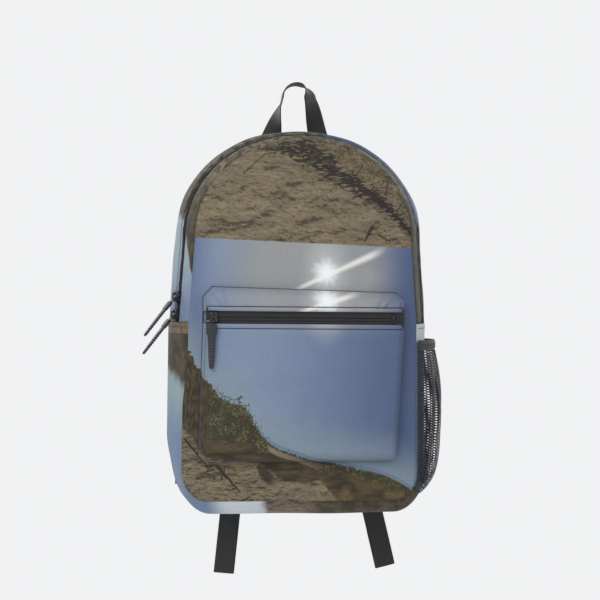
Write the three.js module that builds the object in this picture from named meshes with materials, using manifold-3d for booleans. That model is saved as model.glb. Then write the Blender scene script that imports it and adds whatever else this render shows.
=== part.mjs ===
// A daypack hanging from its carry handle: printed shell, arched main zip with a front that folds open,
// zipped front pocket, one mesh side pocket, padded back and two adjustable shoulder straps.
// Millimetres, +Z up, the front faces -Y, and the origin is where the handle rests on a hook.
import * as THREE from "three";
import Module from "manifold-3d";
import { mergeVertices } from "three/addons/utils/BufferGeometryUtils.js";

const wasm = await Module();
wasm.setup();

// ---------- driving dimensions ----------
const GAP = 0.4; // clearance between neighbouring pieces

// body: a box of cloth, widest behind its middle, with an arched top
const BODY_TOP = -62; // highest point of the body, below the hook
const BODY_HEIGHT = 445;
const BODY_HALF = 153; // half-width at the foot of the sides
const BODY_DEPTH = 104; // front seam to back seam
const ARCH_HEIGHT = 130;
const ARCH_HALF = 145;
const ARCH_POWER = 2.09; // 2 would be an ellipse
const CORNER_WIDE = 45;
const CORNER_TALL = 50;
const CORNER_SAG = 9; // how far the soft lower corners sink inwards at the widest plane
const SAG_FROM = -415; // heights between which they start to sink and are fully sunk
const SAG_TO = -475;
const FRONT_INSET_SIDE = 21.5; // how much narrower each side of the front panel is
const FRONT_INSET_END = 18;
const BACK_INSET_SIDE = 8;
const BACK_INSET_END = 6;
const WIDEST_AT = 0.65; // share of the depth, from the front, where the body is widest
const BASE_FLAT_FROM = 0.3; // shares of the depth between which the base is level
const BASE_FLAT_TO = 0.92;
const PANEL_CROWN = 8; // how far the front panel bulges
const CLOTH = 1.6; // printed cloth with its lining
const BAND_CLOTH = 2; // the gusset's cloth

// main zip, which runs round the arch in the gusset
const ZIP_END = -287; // height of both ends of the main zip
const ZIP_HALF_END = 151.5; // body half-width at that height
const ZIP_LINE = 28; // from the front seam back to the middle of the zip
const ZIP_GROOVE = 8; // between the two lips
const ZIP_TAPE = 13; // each tape
const COIL = 2.4; // width of each row of teeth
const TAPE = 0.8; // thickness of a zip tape

// front that folds open
const FOLD = -243; // height of the fold line, just above the front pocket

// front pocket
const POCKET_HALF = 114;
const POCKET_TOP = -251;
const POCKET_TOP_HALF = 104;
const POCKET_BOTTOM = -443;
const POCKET_DEPTH = 18;
const POCKET_EDGE = 9; // how far in from its side seams the pocket reaches full depth
const POCKET_ZIP = -281; // height of the middle of its zip
const POCKET_ZIP_SHOWN = 14; // height of zip tape that shows
const POCKET_HEM = 4; // cloth that lies over each tape
const POCKET_SLIDER_X = -105;
const POCKET_STOP_X = 98.5;

// zip sliders and pulls
const SLIDER_WIDE = 11;
const SLIDER_LONG = 13;
const SLIDER_THICK = 3.4;
const MAIN_SLIDER_HIGH = -259; // height of the upper slider of the main zip
const MAIN_SLIDER_PITCH = 20.5; // from the upper slider to the lower one
const BRIDGE = 1.5; // thickness of the slider's bridge
const BRIDGE_HIGH = 3; // middle of the bridge above the slider's plate
const WIRE = 1.3; // wire of the loop between slider and pull
const PULL_LONG = 57; // from the slider's bridge to the tip of the pull
const PULL_COLLAR = [7.6, 18.6]; // where the pull's collar starts and ends
const PULL_LEAN = 35; // degrees by which the main zip's pulls stand off the bag

// carry handle and straps
const WEBBING = 25;
const WEBBING_THICK = 1.6;
const HOOK_RADIUS = 16; // peg that the handle hangs over
const HANDLE_BASE_HALF = 34;
const YOKE_TOP = -87; // patch that covers the ends of the handle and of the shoulder straps
const YOKE_TALL = 26;
const STRAP_WIDE = 58;
const STRAP_THICK = 9;
const STRAP_END_WIDE = 40;
const LOCK_WIDE = 35;
const LOCK_TALL = 30.4;
const LOCK_THICK = 3.2;
const LOCK_BAR = 3.2; // height of its top bar
const LOCK_RING = 3.4; // radius of the webbing round that bar
const TAIL_LONG = 132; // free webbing below each strap adjuster
const TAIL_HEM = 46; // webbing doubled back at the end of each tail
const TAIL_LEAN = { left: 5.5, right: 13.7 }; // degrees outwards
const LOCK_AT = { left: [-68, 27, -463], right: [88, 27, -460] };

// padded back and laptop sleeve
const BACK_FOAM = 7;
const COVER = 2;
const SLEEVE_TOP = -215;
const SLEEVE_THICK = 6;
const SLEEVE_SPACE = 10; // laptop space between back and sleeve

// mesh side pocket
const MESH_MOUTH = -306;
const MESH_BINDING = 12;
const MESH_FOOT = -484;
const MESH_MOUTH_OUT = 9;
const MESH_OUT = 17;
const MESH = 1;

// ---------- derived places ----------
const ARCH_FOOT = BODY_TOP - ARCH_HEIGHT;
const BODY_BOTTOM = BODY_TOP - BODY_HEIGHT;
const CORNER_MID = BODY_BOTTOM + CORNER_TALL;
const CORE = new THREE.Vector3(0, -BODY_DEPTH / 2, (BODY_TOP + BODY_BOTTOM) / 2);
const PANEL_BACK = -BODY_DEPTH - GAP; // back face of the front panel at its seam
const PANEL_FACE = PANEL_BACK - CLOTH - PANEL_CROWN; // its foremost plane
const POCKET_BACK = PANEL_FACE - GAP;
const BACK_FACE = CLOTH + BACK_FOAM + COVER + 4 * GAP; // just behind the padded back
const GROOVE_FRONT = -BODY_DEPTH + ZIP_LINE - ZIP_GROOVE / 2;
const GROOVE_BACK = GROOVE_FRONT + ZIP_GROOVE;
const ZIP_MID = -BODY_DEPTH + ZIP_LINE;

// ---------- materials ----------
const cloth = (color, roughness = 0.85) =>
  new THREE.MeshStandardMaterial({ color, roughness, metalness: 0, side: THREE.FrontSide });
const LOOKS = {
  print: cloth(0x7f8fa6),
  webbing: cloth(0x232324, 0.8),
  tape: cloth(0x343234, 0.7),
  coil: cloth(0x2a292b, 0.5),
  metal: new THREE.MeshStandardMaterial({ color: 0x4a4a4c, roughness: 0.35, metalness: 0.9 }),
  rubber: cloth(0x3b3a39, 0.6),
  plastic: cloth(0x1c1c1d, 0.45),
  airMesh: cloth(0x26262a, 0.9),
  foam: cloth(0x5a5a5e, 0.95),
  lining: cloth(0x2e2f33, 0.8),
  net: cloth(0x202226, 0.8),
};

// ---------- solids from grids, sections and booleans ----------
// A closed mesh from triangles of points: shared corners are merged, slivers dropped, and faces turned out.
function closedMesh(triangles) {
  const keep = triangles.filter(
    ([a, b, c]) => a.distanceTo(b) > 2e-3 && b.distanceTo(c) > 2e-3 && c.distanceTo(a) > 2e-3,
  );
  const volume = keep.reduce((sum, [a, b, c]) => sum + a.dot(b.clone().cross(c)), 0);
  const flat = keep.flatMap(([a, b, c]) => (volume < 0 ? [a, c, b] : [a, b, c]));
  const geometry = new THREE.BufferGeometry().setFromPoints(flat);
  return mergeVertices(geometry, 1e-3);
}

const quad = (a, b, c, d) => [
  [a, b, c],
  [a, c, d],
];

// A solid between two grids of points of the same size.
function between(outer, inner) {
  const rows = outer.length - 1;
  const columns = outer[0].length - 1;
  const faces = [];
  for (let i = 0; i < rows; i++)
    for (let j = 0; j < columns; j++) {
      faces.push(...quad(outer[i][j], outer[i + 1][j], outer[i + 1][j + 1], outer[i][j + 1]));
      faces.push(...quad(inner[i][j], inner[i][j + 1], inner[i + 1][j + 1], inner[i + 1][j]));
    }
  for (let j = 0; j < columns; j++) {
    faces.push(...quad(outer[0][j], outer[0][j + 1], inner[0][j + 1], inner[0][j]));
    faces.push(...quad(outer[rows][j + 1], outer[rows][j], inner[rows][j], inner[rows][j + 1]));
  }
  for (let i = 0; i < rows; i++) {
    faces.push(...quad(outer[i + 1][0], outer[i][0], inner[i][0], inner[i + 1][0]));
    faces.push(...quad(outer[i][columns], outer[i + 1][columns], inner[i + 1][columns], inner[i][columns]));
  }
  return closedMesh(faces);
}

// A grid moved by `far` towards the body's core, along its own surface normals.
function inwards(grid, far) {
  const at = (i, j) =>
    grid[Math.max(0, Math.min(grid.length - 1, i))][Math.max(0, Math.min(grid[0].length - 1, j))];
  return grid.map((row, i) =>
    row.map((p, j) => {
      const down = at(i + 1, j).clone().sub(at(i - 1, j));
      const over = at(i, j + 1).clone().sub(at(i, j - 1));
      const normal = down.cross(over).normalize();
      if (normal.dot(CORE.clone().sub(p)) < 0) normal.negate();
      return p.clone().addScaledVector(normal, far);
    }),
  );
}

const shell = (grid, thick) => between(grid, inwards(grid, thick));

// A grid moved along Y.
const backwards = (grid, far) => grid.map((row) => row.map((p) => p.clone().setY(p.y + far)));

// Even steps from one number to another.
const steps = (from, to, count) =>
  Array.from({ length: count + 1 }, (_, k) => from + ((to - from) * k) / count);

// A convex section carried along frames of { at, across, out, scale }.
function sweep(frames, section) {
  const rings = frames.map(({ at, across, out, scale = 1 }) =>
    section.map(([s, t]) => at.clone().addScaledVector(across, s * scale).addScaledVector(out, t)),
  );
  const faces = [];
  for (let i = 0; i + 1 < rings.length; i++)
    section.forEach((_, k) => {
      const next = (k + 1) % section.length;
      faces.push(...quad(rings[i][k], rings[i][next], rings[i + 1][next], rings[i + 1][k]));
    });
  const [first, last] = [rings[0], rings[rings.length - 1]];
  for (let k = 1; k + 1 < section.length; k++) {
    faces.push([first[0], first[k + 1], first[k]]);
    faces.push([last[0], last[k], last[k + 1]]);
  }
  return closedMesh(faces);
}

const strapSection = (wide, thick) => [
  [-wide / 2, -thick / 2],
  [wide / 2, -thick / 2],
  [wide / 2, thick / 2],
  [-wide / 2, thick / 2],
];

const padSection = (wide, thick) => {
  const soft = thick * 0.35;
  return [
    [-wide / 2 + soft, -thick / 2],
    [wide / 2 - soft, -thick / 2],
    [wide / 2, -thick / 2 + soft],
    [wide / 2, thick / 2 - soft],
    [wide / 2 - soft, thick / 2],
    [-wide / 2 + soft, thick / 2],
    [-wide / 2, thick / 2 - soft],
    [-wide / 2, -thick / 2 + soft],
  ];
};

// Frames along a list of points, with the width kept as near to `across` as the line allows.
function framesAlong(points, across, scales = []) {
  const curve = new THREE.CatmullRomCurve3(points.map((p) => new THREE.Vector3(...p)));
  const count = points.length * 2;
  return steps(0, 1, count).map((u) => {
    const along = curve.getTangent(u);
    const side = across.clone().addScaledVector(along, -across.dot(along)).normalize();
    const scale = scales.length ? scales[0] + (scales[1] - scales[0]) * u ** 3 : 1;
    return { at: curve.getPoint(u), across: side, out: along.clone().cross(side), scale };
  });
}

// Frames at the points themselves, for lines that bend evenly.
function polyFrames(points, across) {
  return points.map((at, i) => {
    const next = points[Math.min(i + 1, points.length - 1)];
    const along = next.clone().sub(points[Math.max(i - 1, 0)]).normalize();
    return { at, across: across.clone(), out: along.clone().cross(across) };
  });
}

function toManifold(geometry) {
  const bare = geometry.clone();
  bare.deleteAttribute("normal");
  bare.deleteAttribute("uv");
  const merged = mergeVertices(bare, 1e-3);
  const vertProperties = new Float32Array(merged.attributes.position.array);
  const triVerts = new Uint32Array(merged.index.array);
  return new wasm.Manifold(new wasm.Mesh({ numProp: 3, vertProperties, triVerts }));
}

function fromManifold(solid) {
  const mesh = solid.getMesh();
  const geometry = new THREE.BufferGeometry();
  geometry.setAttribute("position", new THREE.BufferAttribute(new Float32Array(mesh.vertProperties), 3));
  geometry.setIndex(new THREE.BufferAttribute(new Uint32Array(mesh.triVerts), 1));
  return geometry;
}

const joined = (...pieces) => fromManifold(pieces.map(toManifold).reduce((a, b) => a.add(b)));
const cut = (piece, ...tools) =>
  fromManifold(tools.map(toManifold).reduce((a, b) => a.subtract(b), toManifold(piece)));

const box = (wide, long, tall, x = 0, y = 0, z = 0) =>
  new THREE.BoxGeometry(wide, long, tall).translate(x, y, z);

// A plate with round corners, in the local XY plane, from z `low` to `high`.
function roundPlate(wide, long, radius, low, high) {
  const [w, l] = [wide / 2, long / 2];
  const shape = new THREE.Shape()
    .moveTo(-w + radius, -l)
    .lineTo(w - radius, -l)
    .absarc(w - radius, -l + radius, radius, -Math.PI / 2, 0)
    .lineTo(w, l - radius)
    .absarc(w - radius, l - radius, radius, 0, Math.PI / 2)
    .lineTo(-w + radius, l)
    .absarc(-w + radius, l - radius, radius, Math.PI / 2, Math.PI)
    .lineTo(-w, -l + radius)
    .absarc(-w + radius, -l + radius, radius, Math.PI, Math.PI * 1.5);
  const settings = { depth: high - low, bevelEnabled: false, curveSegments: 3 };
  return new THREE.ExtrudeGeometry(shape, settings).translate(0, 0, low);
}

// ---------- the body's surface ----------
// Insets of the outline at share v of the depth: the front is smallest, and the body is widest at WIDEST_AT.
function inset(v, front, back, from, to) {
  if (v < from) return front * (1 - Math.sin((Math.PI / 2) * (v / from)));
  if (v <= to) return 0;
  return back * ((v - to) / (1 - to)) ** 2;
}

// How far the outline has sunk inwards at share v of the depth and height z.
function sag(v, z) {
  const down = Math.min(1, Math.max(0, (SAG_FROM - z) / (SAG_FROM - SAG_TO)));
  return CORNER_SAG * Math.sin((Math.PI / 2) * Math.min(1, v / WIDEST_AT)) * down * down * (3 - 2 * down);
}

// Point of the right-hand outline. s runs 0 to 1 down the arch, to 2 down the side, to 3 round the corner and
// to 4 along the base to its middle.
function rim(s, v) {
  const side = inset(v, FRONT_INSET_SIDE, BACK_INSET_SIDE, WIDEST_AT, WIDEST_AT);
  const top = inset(v, FRONT_INSET_END, BACK_INSET_END, WIDEST_AT, WIDEST_AT);
  const base = inset(v, FRONT_INSET_END, BACK_INSET_END, BASE_FLAT_FROM, BASE_FLAT_TO);
  const y = -BODY_DEPTH * (1 - v);
  if (s <= 1) {
    const angle = ((1 - Math.max(s, 0)) * Math.PI) / 2;
    const power = 2 / ARCH_POWER;
    return new THREE.Vector3(
      (ARCH_HALF - side) * Math.cos(angle) ** power,
      y,
      ARCH_FOOT + (ARCH_HEIGHT - top) * Math.sin(angle) ** power,
    );
  }
  if (s <= 2) {
    const z = ARCH_FOOT + (CORNER_MID - ARCH_FOOT) * (s - 1);
    const half =
      z > ZIP_END
        ? ARCH_HALF + ((ZIP_HALF_END - ARCH_HALF) * (ARCH_FOOT - z)) / (ARCH_FOOT - ZIP_END)
        : ZIP_HALF_END + ((BODY_HALF - ZIP_HALF_END) * (ZIP_END - z)) / (ZIP_END - CORNER_MID);
    return new THREE.Vector3(half - side - sag(v, z), y, z);
  }
  if (s <= 3) {
    const angle = ((s - 2) * Math.PI) / 2;
    const z = CORNER_MID - (CORNER_TALL - base) * Math.sin(angle);
    const x = BODY_HALF - CORNER_WIDE + (CORNER_WIDE - side) * Math.cos(angle) - sag(v, z);
    return new THREE.Vector3(x, y, z);
  }
  const half = BODY_HALF - CORNER_WIDE - sag(v, SAG_TO);
  return new THREE.Vector3(half * (4 - s), y, BODY_BOTTOM + base);
}

// The share s of the outline at height z on the straight side.
const sideAt = (z) => 1 + (ARCH_FOOT - z) / (ARCH_FOOT - CORNER_MID);
const depthAt = (y) => 1 + y / BODY_DEPTH;

// A point of the body's skin, `deep` under its surface; side is 1 on the right and -1 on the left.
function skin(s, v, side, deep = 0) {
  const small = 1e-3;
  const p = rim(s, v);
  const low = Math.max(0, v - small);
  const across = rim(s, low + 2 * small).sub(rim(s, low));
  const down = s < small ? new THREE.Vector3(1, 0, 0) : rim(s + small, v).sub(rim(s - small, v));
  const normal = down.cross(across).normalize();
  if (normal.x * p.x + normal.z * (p.z - CORE.z) < 0) normal.negate();
  p.addScaledVector(normal, -deep);
  return new THREE.Vector3(p.x * side, p.y, p.z);
}

// Every strip of the gusset bends at the same places, so that layers lie parallel.
const DEPTH_KNOTS = [0.1, 0.2, BASE_FLAT_FROM, 0.45, WIDEST_AT, 0.8, BASE_FLAT_TO];
const ARCH_STATIONS = steps(0, 1, 10);
const CORNER_STATIONS = steps(2, 3, 4);

// Places along the outline over the top, from height `foot` on one side to the same on the other.
function overTop(foot) {
  const half = [...ARCH_STATIONS, ...[FOLD + 12, ZIP_END + 12].filter((z) => z > foot + 5).map(sideAt), sideAt(foot)];
  const left = half.slice(1).reverse().map((s) => [s, -1]);
  return [...left, ...half.map((s) => [s, 1])];
}

// Places along the outline under the base, from height `head` on one side to the same on the other.
function underBase(head) {
  const half = [sideAt(head), sideAt((head + CORNER_MID) / 2), ...CORNER_STATIONS, 3.5];
  return [...half.map((s) => [s, -1]), [4, 1], ...half.reverse().map((s) => [s, 1])];
}

// Places down one straight side.
const downSide = (side, head, foot) => [
  [sideAt(head), side],
  [sideAt(foot), side],
];

// A strip of the gusset between two distances `near` and `far` along Y, from depth `deep` for `thick`.
function strip(places, near, far, deep, thick) {
  const [from, to] = [depthAt(near), depthAt(far)];
  const shares = [from, ...DEPTH_KNOTS.filter((v) => v > from + 0.01 && v < to - 0.01), to];
  const face = (d) => places.map(([s, side]) => shares.map((v) => skin(s, v, side, d)));
  return between(face(deep), face(deep + thick));
}

// Rows of points across the front or back panel, between outline places s1 and s2.
function panelGrid(stations, v, y, crown, trim = 0) {
  const across = steps(-1, 1, 8);
  const middle = CORE.z;
  const reach = BODY_HEIGHT / 2 - FRONT_INSET_END;
  return stations.map((s) => {
    const edge = skin(s, v, 1, trim);
    const level = Math.min(1, Math.abs((edge.z - middle) / reach));
    return across.map((c) => {
      const bulge = crown * (1 - c ** 4) * (1 - level ** 4);
      return new THREE.Vector3(edge.x * c, y - bulge, edge.z);
    });
  });
}

// ---------- assembly ----------
const bag = new THREE.Group();
function add(name, geometry, look, matrix) {
  const mesh = new THREE.Mesh(geometry, look);
  mesh.name = name;
  if (matrix) {
    matrix.decompose(mesh.position, mesh.quaternion, mesh.scale);
  }
  bag.add(mesh);
}

function addShell() {
  const upper = [...ARCH_STATIONS, sideAt(FOLD + GAP)];
  const lower = [sideAt(FOLD - GAP), sideAt(-330), sideAt(-400), ...CORNER_STATIONS];
  const faceAt = (stations) => {
    const back = panelGrid(stations, 0, PANEL_BACK, PANEL_CROWN);
    return between(backwards(back, -CLOTH), back);
  };
  add("front_panel_upper", faceAt(upper), LOOKS.print);
  add("front_panel_lower", faceAt(lower), LOOKS.print);

  const lipFront = -BODY_DEPTH + GAP;
  const lip = (places) => strip(places, lipFront, GROOVE_FRONT, 0, BAND_CLOTH);
  add("front_lip_arch", lip(overTop(FOLD + GAP)), LOOKS.print);
  for (const [side, name] of [[-1, "left"], [1, "right"]])
    add(`front_lip_${name}_end`, lip(downSide(side, FOLD - GAP, ZIP_END + GAP)), LOOKS.print);
  add("rear_gusset", strip(overTop(ZIP_END + GAP), GROOVE_BACK, -GAP, 0, BAND_CLOTH), LOOKS.print);
  add("base_gusset", strip(underBase(ZIP_END - GAP), lipFront, -GAP, 0, BAND_CLOTH), LOOKS.print);
}

function addMainZip() {
  const under = BAND_CLOTH + GAP;
  const front = ZIP_MID - GAP;
  const rear = ZIP_MID + GAP;
  const tape = (places, near, far) => strip(places, near, far, under, TAPE);
  const coil = (places, near, far) => strip(places, near, far, GAP, BAND_CLOTH - GAP);
  add("main_zip_rear_tape", tape(overTop(ZIP_END + 1), rear, rear + ZIP_TAPE), LOOKS.tape);
  add("main_zip_rear_teeth", coil(overTop(ZIP_END + 1), rear, rear + COIL), LOOKS.coil);
  add("main_zip_front_tape", tape(overTop(FOLD + GAP), front - ZIP_TAPE, front), LOOKS.tape);
  add("main_zip_front_teeth", coil(overTop(FOLD + GAP), front - COIL, front), LOOKS.coil);
  for (const [side, name] of [[-1, "left"], [1, "right"]]) {
    const places = downSide(side, FOLD - GAP, ZIP_END + 1);
    add(`main_zip_${name}_end_tape`, tape(places, front - ZIP_TAPE, front), LOOKS.tape);
    add(`main_zip_${name}_end_teeth`, coil(places, front - COIL, front), LOOKS.coil);
  }
}

// Slider in its own frame: X across the zip, Y along it, Z out of the bag.
function sliderBody() {
  const top = GAP + SLIDER_THICK;
  const rise = BRIDGE_HIGH + BRIDGE / 2;
  const post = (y) => box(BRIDGE, 1.8, rise + 0.5, 0, y, top + rise / 2 - 0.25);
  const bridge = box(BRIDGE, 9, BRIDGE, 0, 0, top + BRIDGE_HIGH);
  const base = roundPlate(SLIDER_WIDE, SLIDER_LONG, 3, GAP, top);
  return joined(base, post(-3.6), post(3.6), bridge);
}
const BRIDGE_OUT = GAP + SLIDER_THICK + BRIDGE_HIGH;
const UNDER_BRIDGE = GAP + SLIDER_THICK + (BRIDGE_HIGH - BRIDGE / 2) / 2; // middle of the hole under the bridge

// Rubber pull hanging along local -Y from its pivot, Z out of the bag.
function pullTab(wide = 12) {
  const [from, to] = PULL_COLLAR;
  const collar = roundPlate(wide, to - from, 1.5, -2, 2).translate(0, -(from + to) / 2, 0);
  const half = wide / 2;
  const tongue = new THREE.Shape()
    .moveTo(-half * 0.76, 1 - to)
    .lineTo(half * 0.76, 1 - to)
    .lineTo(half * 0.46, -PULL_LONG + 3)
    .absarc(0, -PULL_LONG + 3, half * 0.46, 0, -Math.PI, true)
    .lineTo(-half * 0.76, 1 - to);
  const blade = new THREE.ExtrudeGeometry(tongue, { depth: 3, bevelEnabled: false, curveSegments: 4 });
  return joined(collar, blade.translate(0, 0, -1.5));
}

// Wire loop in the pull's frame, lying flat: its top bar passes under the slider's bridge.
function flatLoop(wide = 7) {
  const long = PULL_COLLAR[0] - GAP + WIRE / 2;
  const mid = WIRE / 2 - long / 2;
  return cut(box(wide, long, WIRE, 0, mid, 0), box(wide - 2 * WIRE, long - 2 * WIRE, 3 * WIRE, 0, mid, 0));
}

// Wire loop in the pull's frame, standing on edge: it goes round the slider's bridge.
function edgeLoop() {
  const inner = BRIDGE * 0.5 * Math.SQRT2 + 0.25;
  const foot = -PULL_COLLAR[0] + GAP;
  const ring = (r, low) =>
    new THREE.Shape()
      .moveTo(r, low)
      .lineTo(r, 0)
      .absarc(0, 0, r, 0, Math.PI)
      .lineTo(-r, low);
  const shape = ring(inner + WIRE, foot);
  const loop = new THREE.ExtrudeGeometry(shape, { depth: WIRE, bevelEnabled: false, curveSegments: 4 });
  const hole = new THREE.ExtrudeGeometry(ring(inner, foot + WIRE), {
    depth: 3 * WIRE,
    bevelEnabled: false,
    curveSegments: 4,
  });
  const made = cut(loop.translate(0, 0, -WIRE / 2), hole.translate(0, 0, -1.5 * WIRE));
  return made.rotateY(Math.PI / 2);
}

// The frame whose columns are across, along and out, at a place.
function frame(at, along, out) {
  const across = along.clone().cross(out).normalize();
  return new THREE.Matrix4().makeBasis(across, along, out).setPosition(at);
}

function addPocketZipParts() {
  const out = new THREE.Vector3(0, -1, 0);
  const face = POCKET_BACK - POCKET_DEPTH + CLOTH + GAP; // front plane of the pocket's zip tapes
  const at = new THREE.Vector3(POCKET_SLIDER_X, face, POCKET_ZIP);
  add("pocket_slider", sliderBody(), LOOKS.metal, frame(at, new THREE.Vector3(1, 0, 0), out));
  const hang = at.clone().add(new THREE.Vector3(0, -BRIDGE_OUT, 0));
  const up = new THREE.Vector3(0, 0, 1);
  add("pocket_pull_loop", edgeLoop(), LOOKS.metal, frame(hang, up, out));
  add("pocket_pull", pullTab(), LOOKS.rubber, frame(hang, up, out));
}

// Main zip slider `step` pitches below the upper one, its wire loop and its pull.
function addMainSlider(name, step) {
  const z = MAIN_SLIDER_HIGH - step * MAIN_SLIDER_PITCH;
  const v = depthAt(ZIP_MID);
  const at = skin(sideAt(z), v, -1);
  const out = skin(sideAt(z), v, -1, -1).sub(at);
  const along = skin(sideAt(z + 1), v, -1).sub(skin(sideAt(z - 1), v, -1)).normalize();
  const slider = frame(at, along, out);
  add(`main_slider_${name}`, sliderBody(), LOOKS.metal, slider);
  const lean = new THREE.Matrix4().makeRotationX(THREE.MathUtils.degToRad(-PULL_LEAN));
  const hang = new THREE.Matrix4().makeTranslation(0, 0, UNDER_BRIDGE);
  const pull = slider.clone().multiply(hang).multiply(lean);
  add(`main_pull_loop_${name}`, flatLoop(6), LOOKS.metal, pull);
  add(`main_pull_${name}`, pullTab(9.6), LOOKS.rubber, pull);
}

function addFrontPocket() {
  const full = POCKET_DEPTH;
  const zipHalf = POCKET_ZIP_SHOWN / 2;
  const rise = (x, half) => {
    const over = (Math.abs(x) - (half - POCKET_EDGE)) / POCKET_EDGE;
    return over <= 0 ? 1 : Math.sqrt(Math.max(0, 1 - over ** 2));
  };
  const columns = [-1, ...steps(-0.985, -0.925, 2), ...steps(-0.6, 0.6, 4), ...steps(0.925, 0.985, 2), 1];
  const surface = (rows) =>
    rows.map(({ z, half, share }) =>
      columns.map((c) => {
        const x = c * half;
        return new THREE.Vector3(x, POCKET_BACK - CLOTH - (full - CLOTH) * share * rise(x, half), z);
      }),
    );
  const roof = [
    [0, 0],
    [0.36, 0.66],
    [0.72, 1],
    [1, 1],
  ].map(([down, share]) => ({
    z: POCKET_TOP + (POCKET_ZIP + zipHalf - POCKET_TOP) * down,
    half: POCKET_TOP_HALF + (POCKET_HALF - POCKET_TOP_HALF) * Math.min(1, down / 0.72),
    share,
  }));
  const head = POCKET_ZIP - zipHalf;
  const face = [0, 0.3, 0.6, 0.85, 0.93, 0.98, 1].map((q) => ({
    z: head + (POCKET_BOTTOM - head) * q,
    half: POCKET_HALF,
    share: Math.sqrt(1 - q ** 12),
  }));
  add("pocket_roof", shell(surface(roof), CLOTH), LOOKS.print);
  add("pocket_face", shell(surface(face), CLOTH), LOOKS.print);

  const tapeHalf = POCKET_HALF - POCKET_EDGE - GAP;
  const tapeFace = POCKET_BACK - full + CLOTH + GAP;
  const tape = (low, high) =>
    box(2 * tapeHalf, TAPE, high - low, 0, tapeFace + TAPE / 2, (low + high) / 2);
  const reach = zipHalf + POCKET_HEM;
  add("pocket_zip_upper_tape", tape(POCKET_ZIP + GAP / 2, POCKET_ZIP + reach), LOOKS.tape);
  add("pocket_zip_lower_tape", tape(POCKET_ZIP - reach, POCKET_ZIP - GAP / 2), LOOKS.tape);
  const coilBack = tapeFace + TAPE + GAP;
  add("pocket_zip_teeth", box(2 * tapeHalf - 6, 1.8, 2 * COIL, 0, coilBack + 0.9, POCKET_ZIP), LOOKS.coil);
  const stop = box(2, 1.6, 9, POCKET_STOP_X, tapeFace - GAP - 0.8, POCKET_ZIP);
  add("pocket_zip_stop", stop, LOOKS.metal);
}

function addMeshPocket() {
  const shares = steps(0.02, 0.97, 8);
  const bulge = (v) => Math.sin((Math.PI * (v - 0.02)) / 0.95) ** 0.6;
  const outAt = (h) =>
    h < 0.4
      ? MESH_MOUTH_OUT + (MESH_OUT - MESH_MOUTH_OUT) * Math.sin((Math.PI / 2) * (h / 0.4))
      : MESH_OUT * Math.cos((Math.PI / 2) * ((h - 0.4) / 0.6)) ** 0.8;
  const edge = MESH + 2 * GAP;
  const place = (z) => (z > CORNER_MID ? sideAt(z) : 2 + Math.asin((CORNER_MID - z) / CORNER_TALL) / (Math.PI / 2));
  const head = MESH_MOUTH - MESH_BINDING;
  const net = [0, 0.2, 0.4, 0.6, 0.8, 0.93, 1].map((h) => {
    const s = place(head - GAP + (MESH_FOOT - head) * h);
    return shares.map((v) => skin(s, v, 1, -edge - bulge(v) * Math.max(0, outAt(h))));
  });
  add("mesh_pocket", shell(net, MESH), LOOKS.net);
  const band = [MESH_MOUTH, head].map((z) =>
    shares.map((v) => skin(sideAt(z), v, 1, -edge - 0.8 - bulge(v) * MESH_MOUTH_OUT)),
  );
  add("mesh_pocket_binding", shell(band, MESH + 0.8), LOOKS.tape);
}

function addBack() {
  const stations = [...ARCH_STATIONS, sideAt(-290), sideAt(-400), ...CORNER_STATIONS];
  const plate = (near, thick, trim) => {
    const face = panelGrid(stations, 1, near, 0, trim);
    return between(face, backwards(face, thick));
  };
  let at = GAP;
  add("back_panel", plate(at, CLOTH, 0), LOOKS.lining);
  at += CLOTH + GAP;
  add("back_foam", plate(at, BACK_FOAM, 6), LOOKS.foam);
  at += BACK_FOAM + GAP;
  add("back_cover", plate(at, COVER, 3), LOOKS.airMesh);
  at += COVER + GAP;
  add("strap_yoke", box(124, CLOTH, YOKE_TALL, 0, at + CLOTH / 2, YOKE_TOP - YOKE_TALL / 2), LOOKS.webbing);
}

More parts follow.
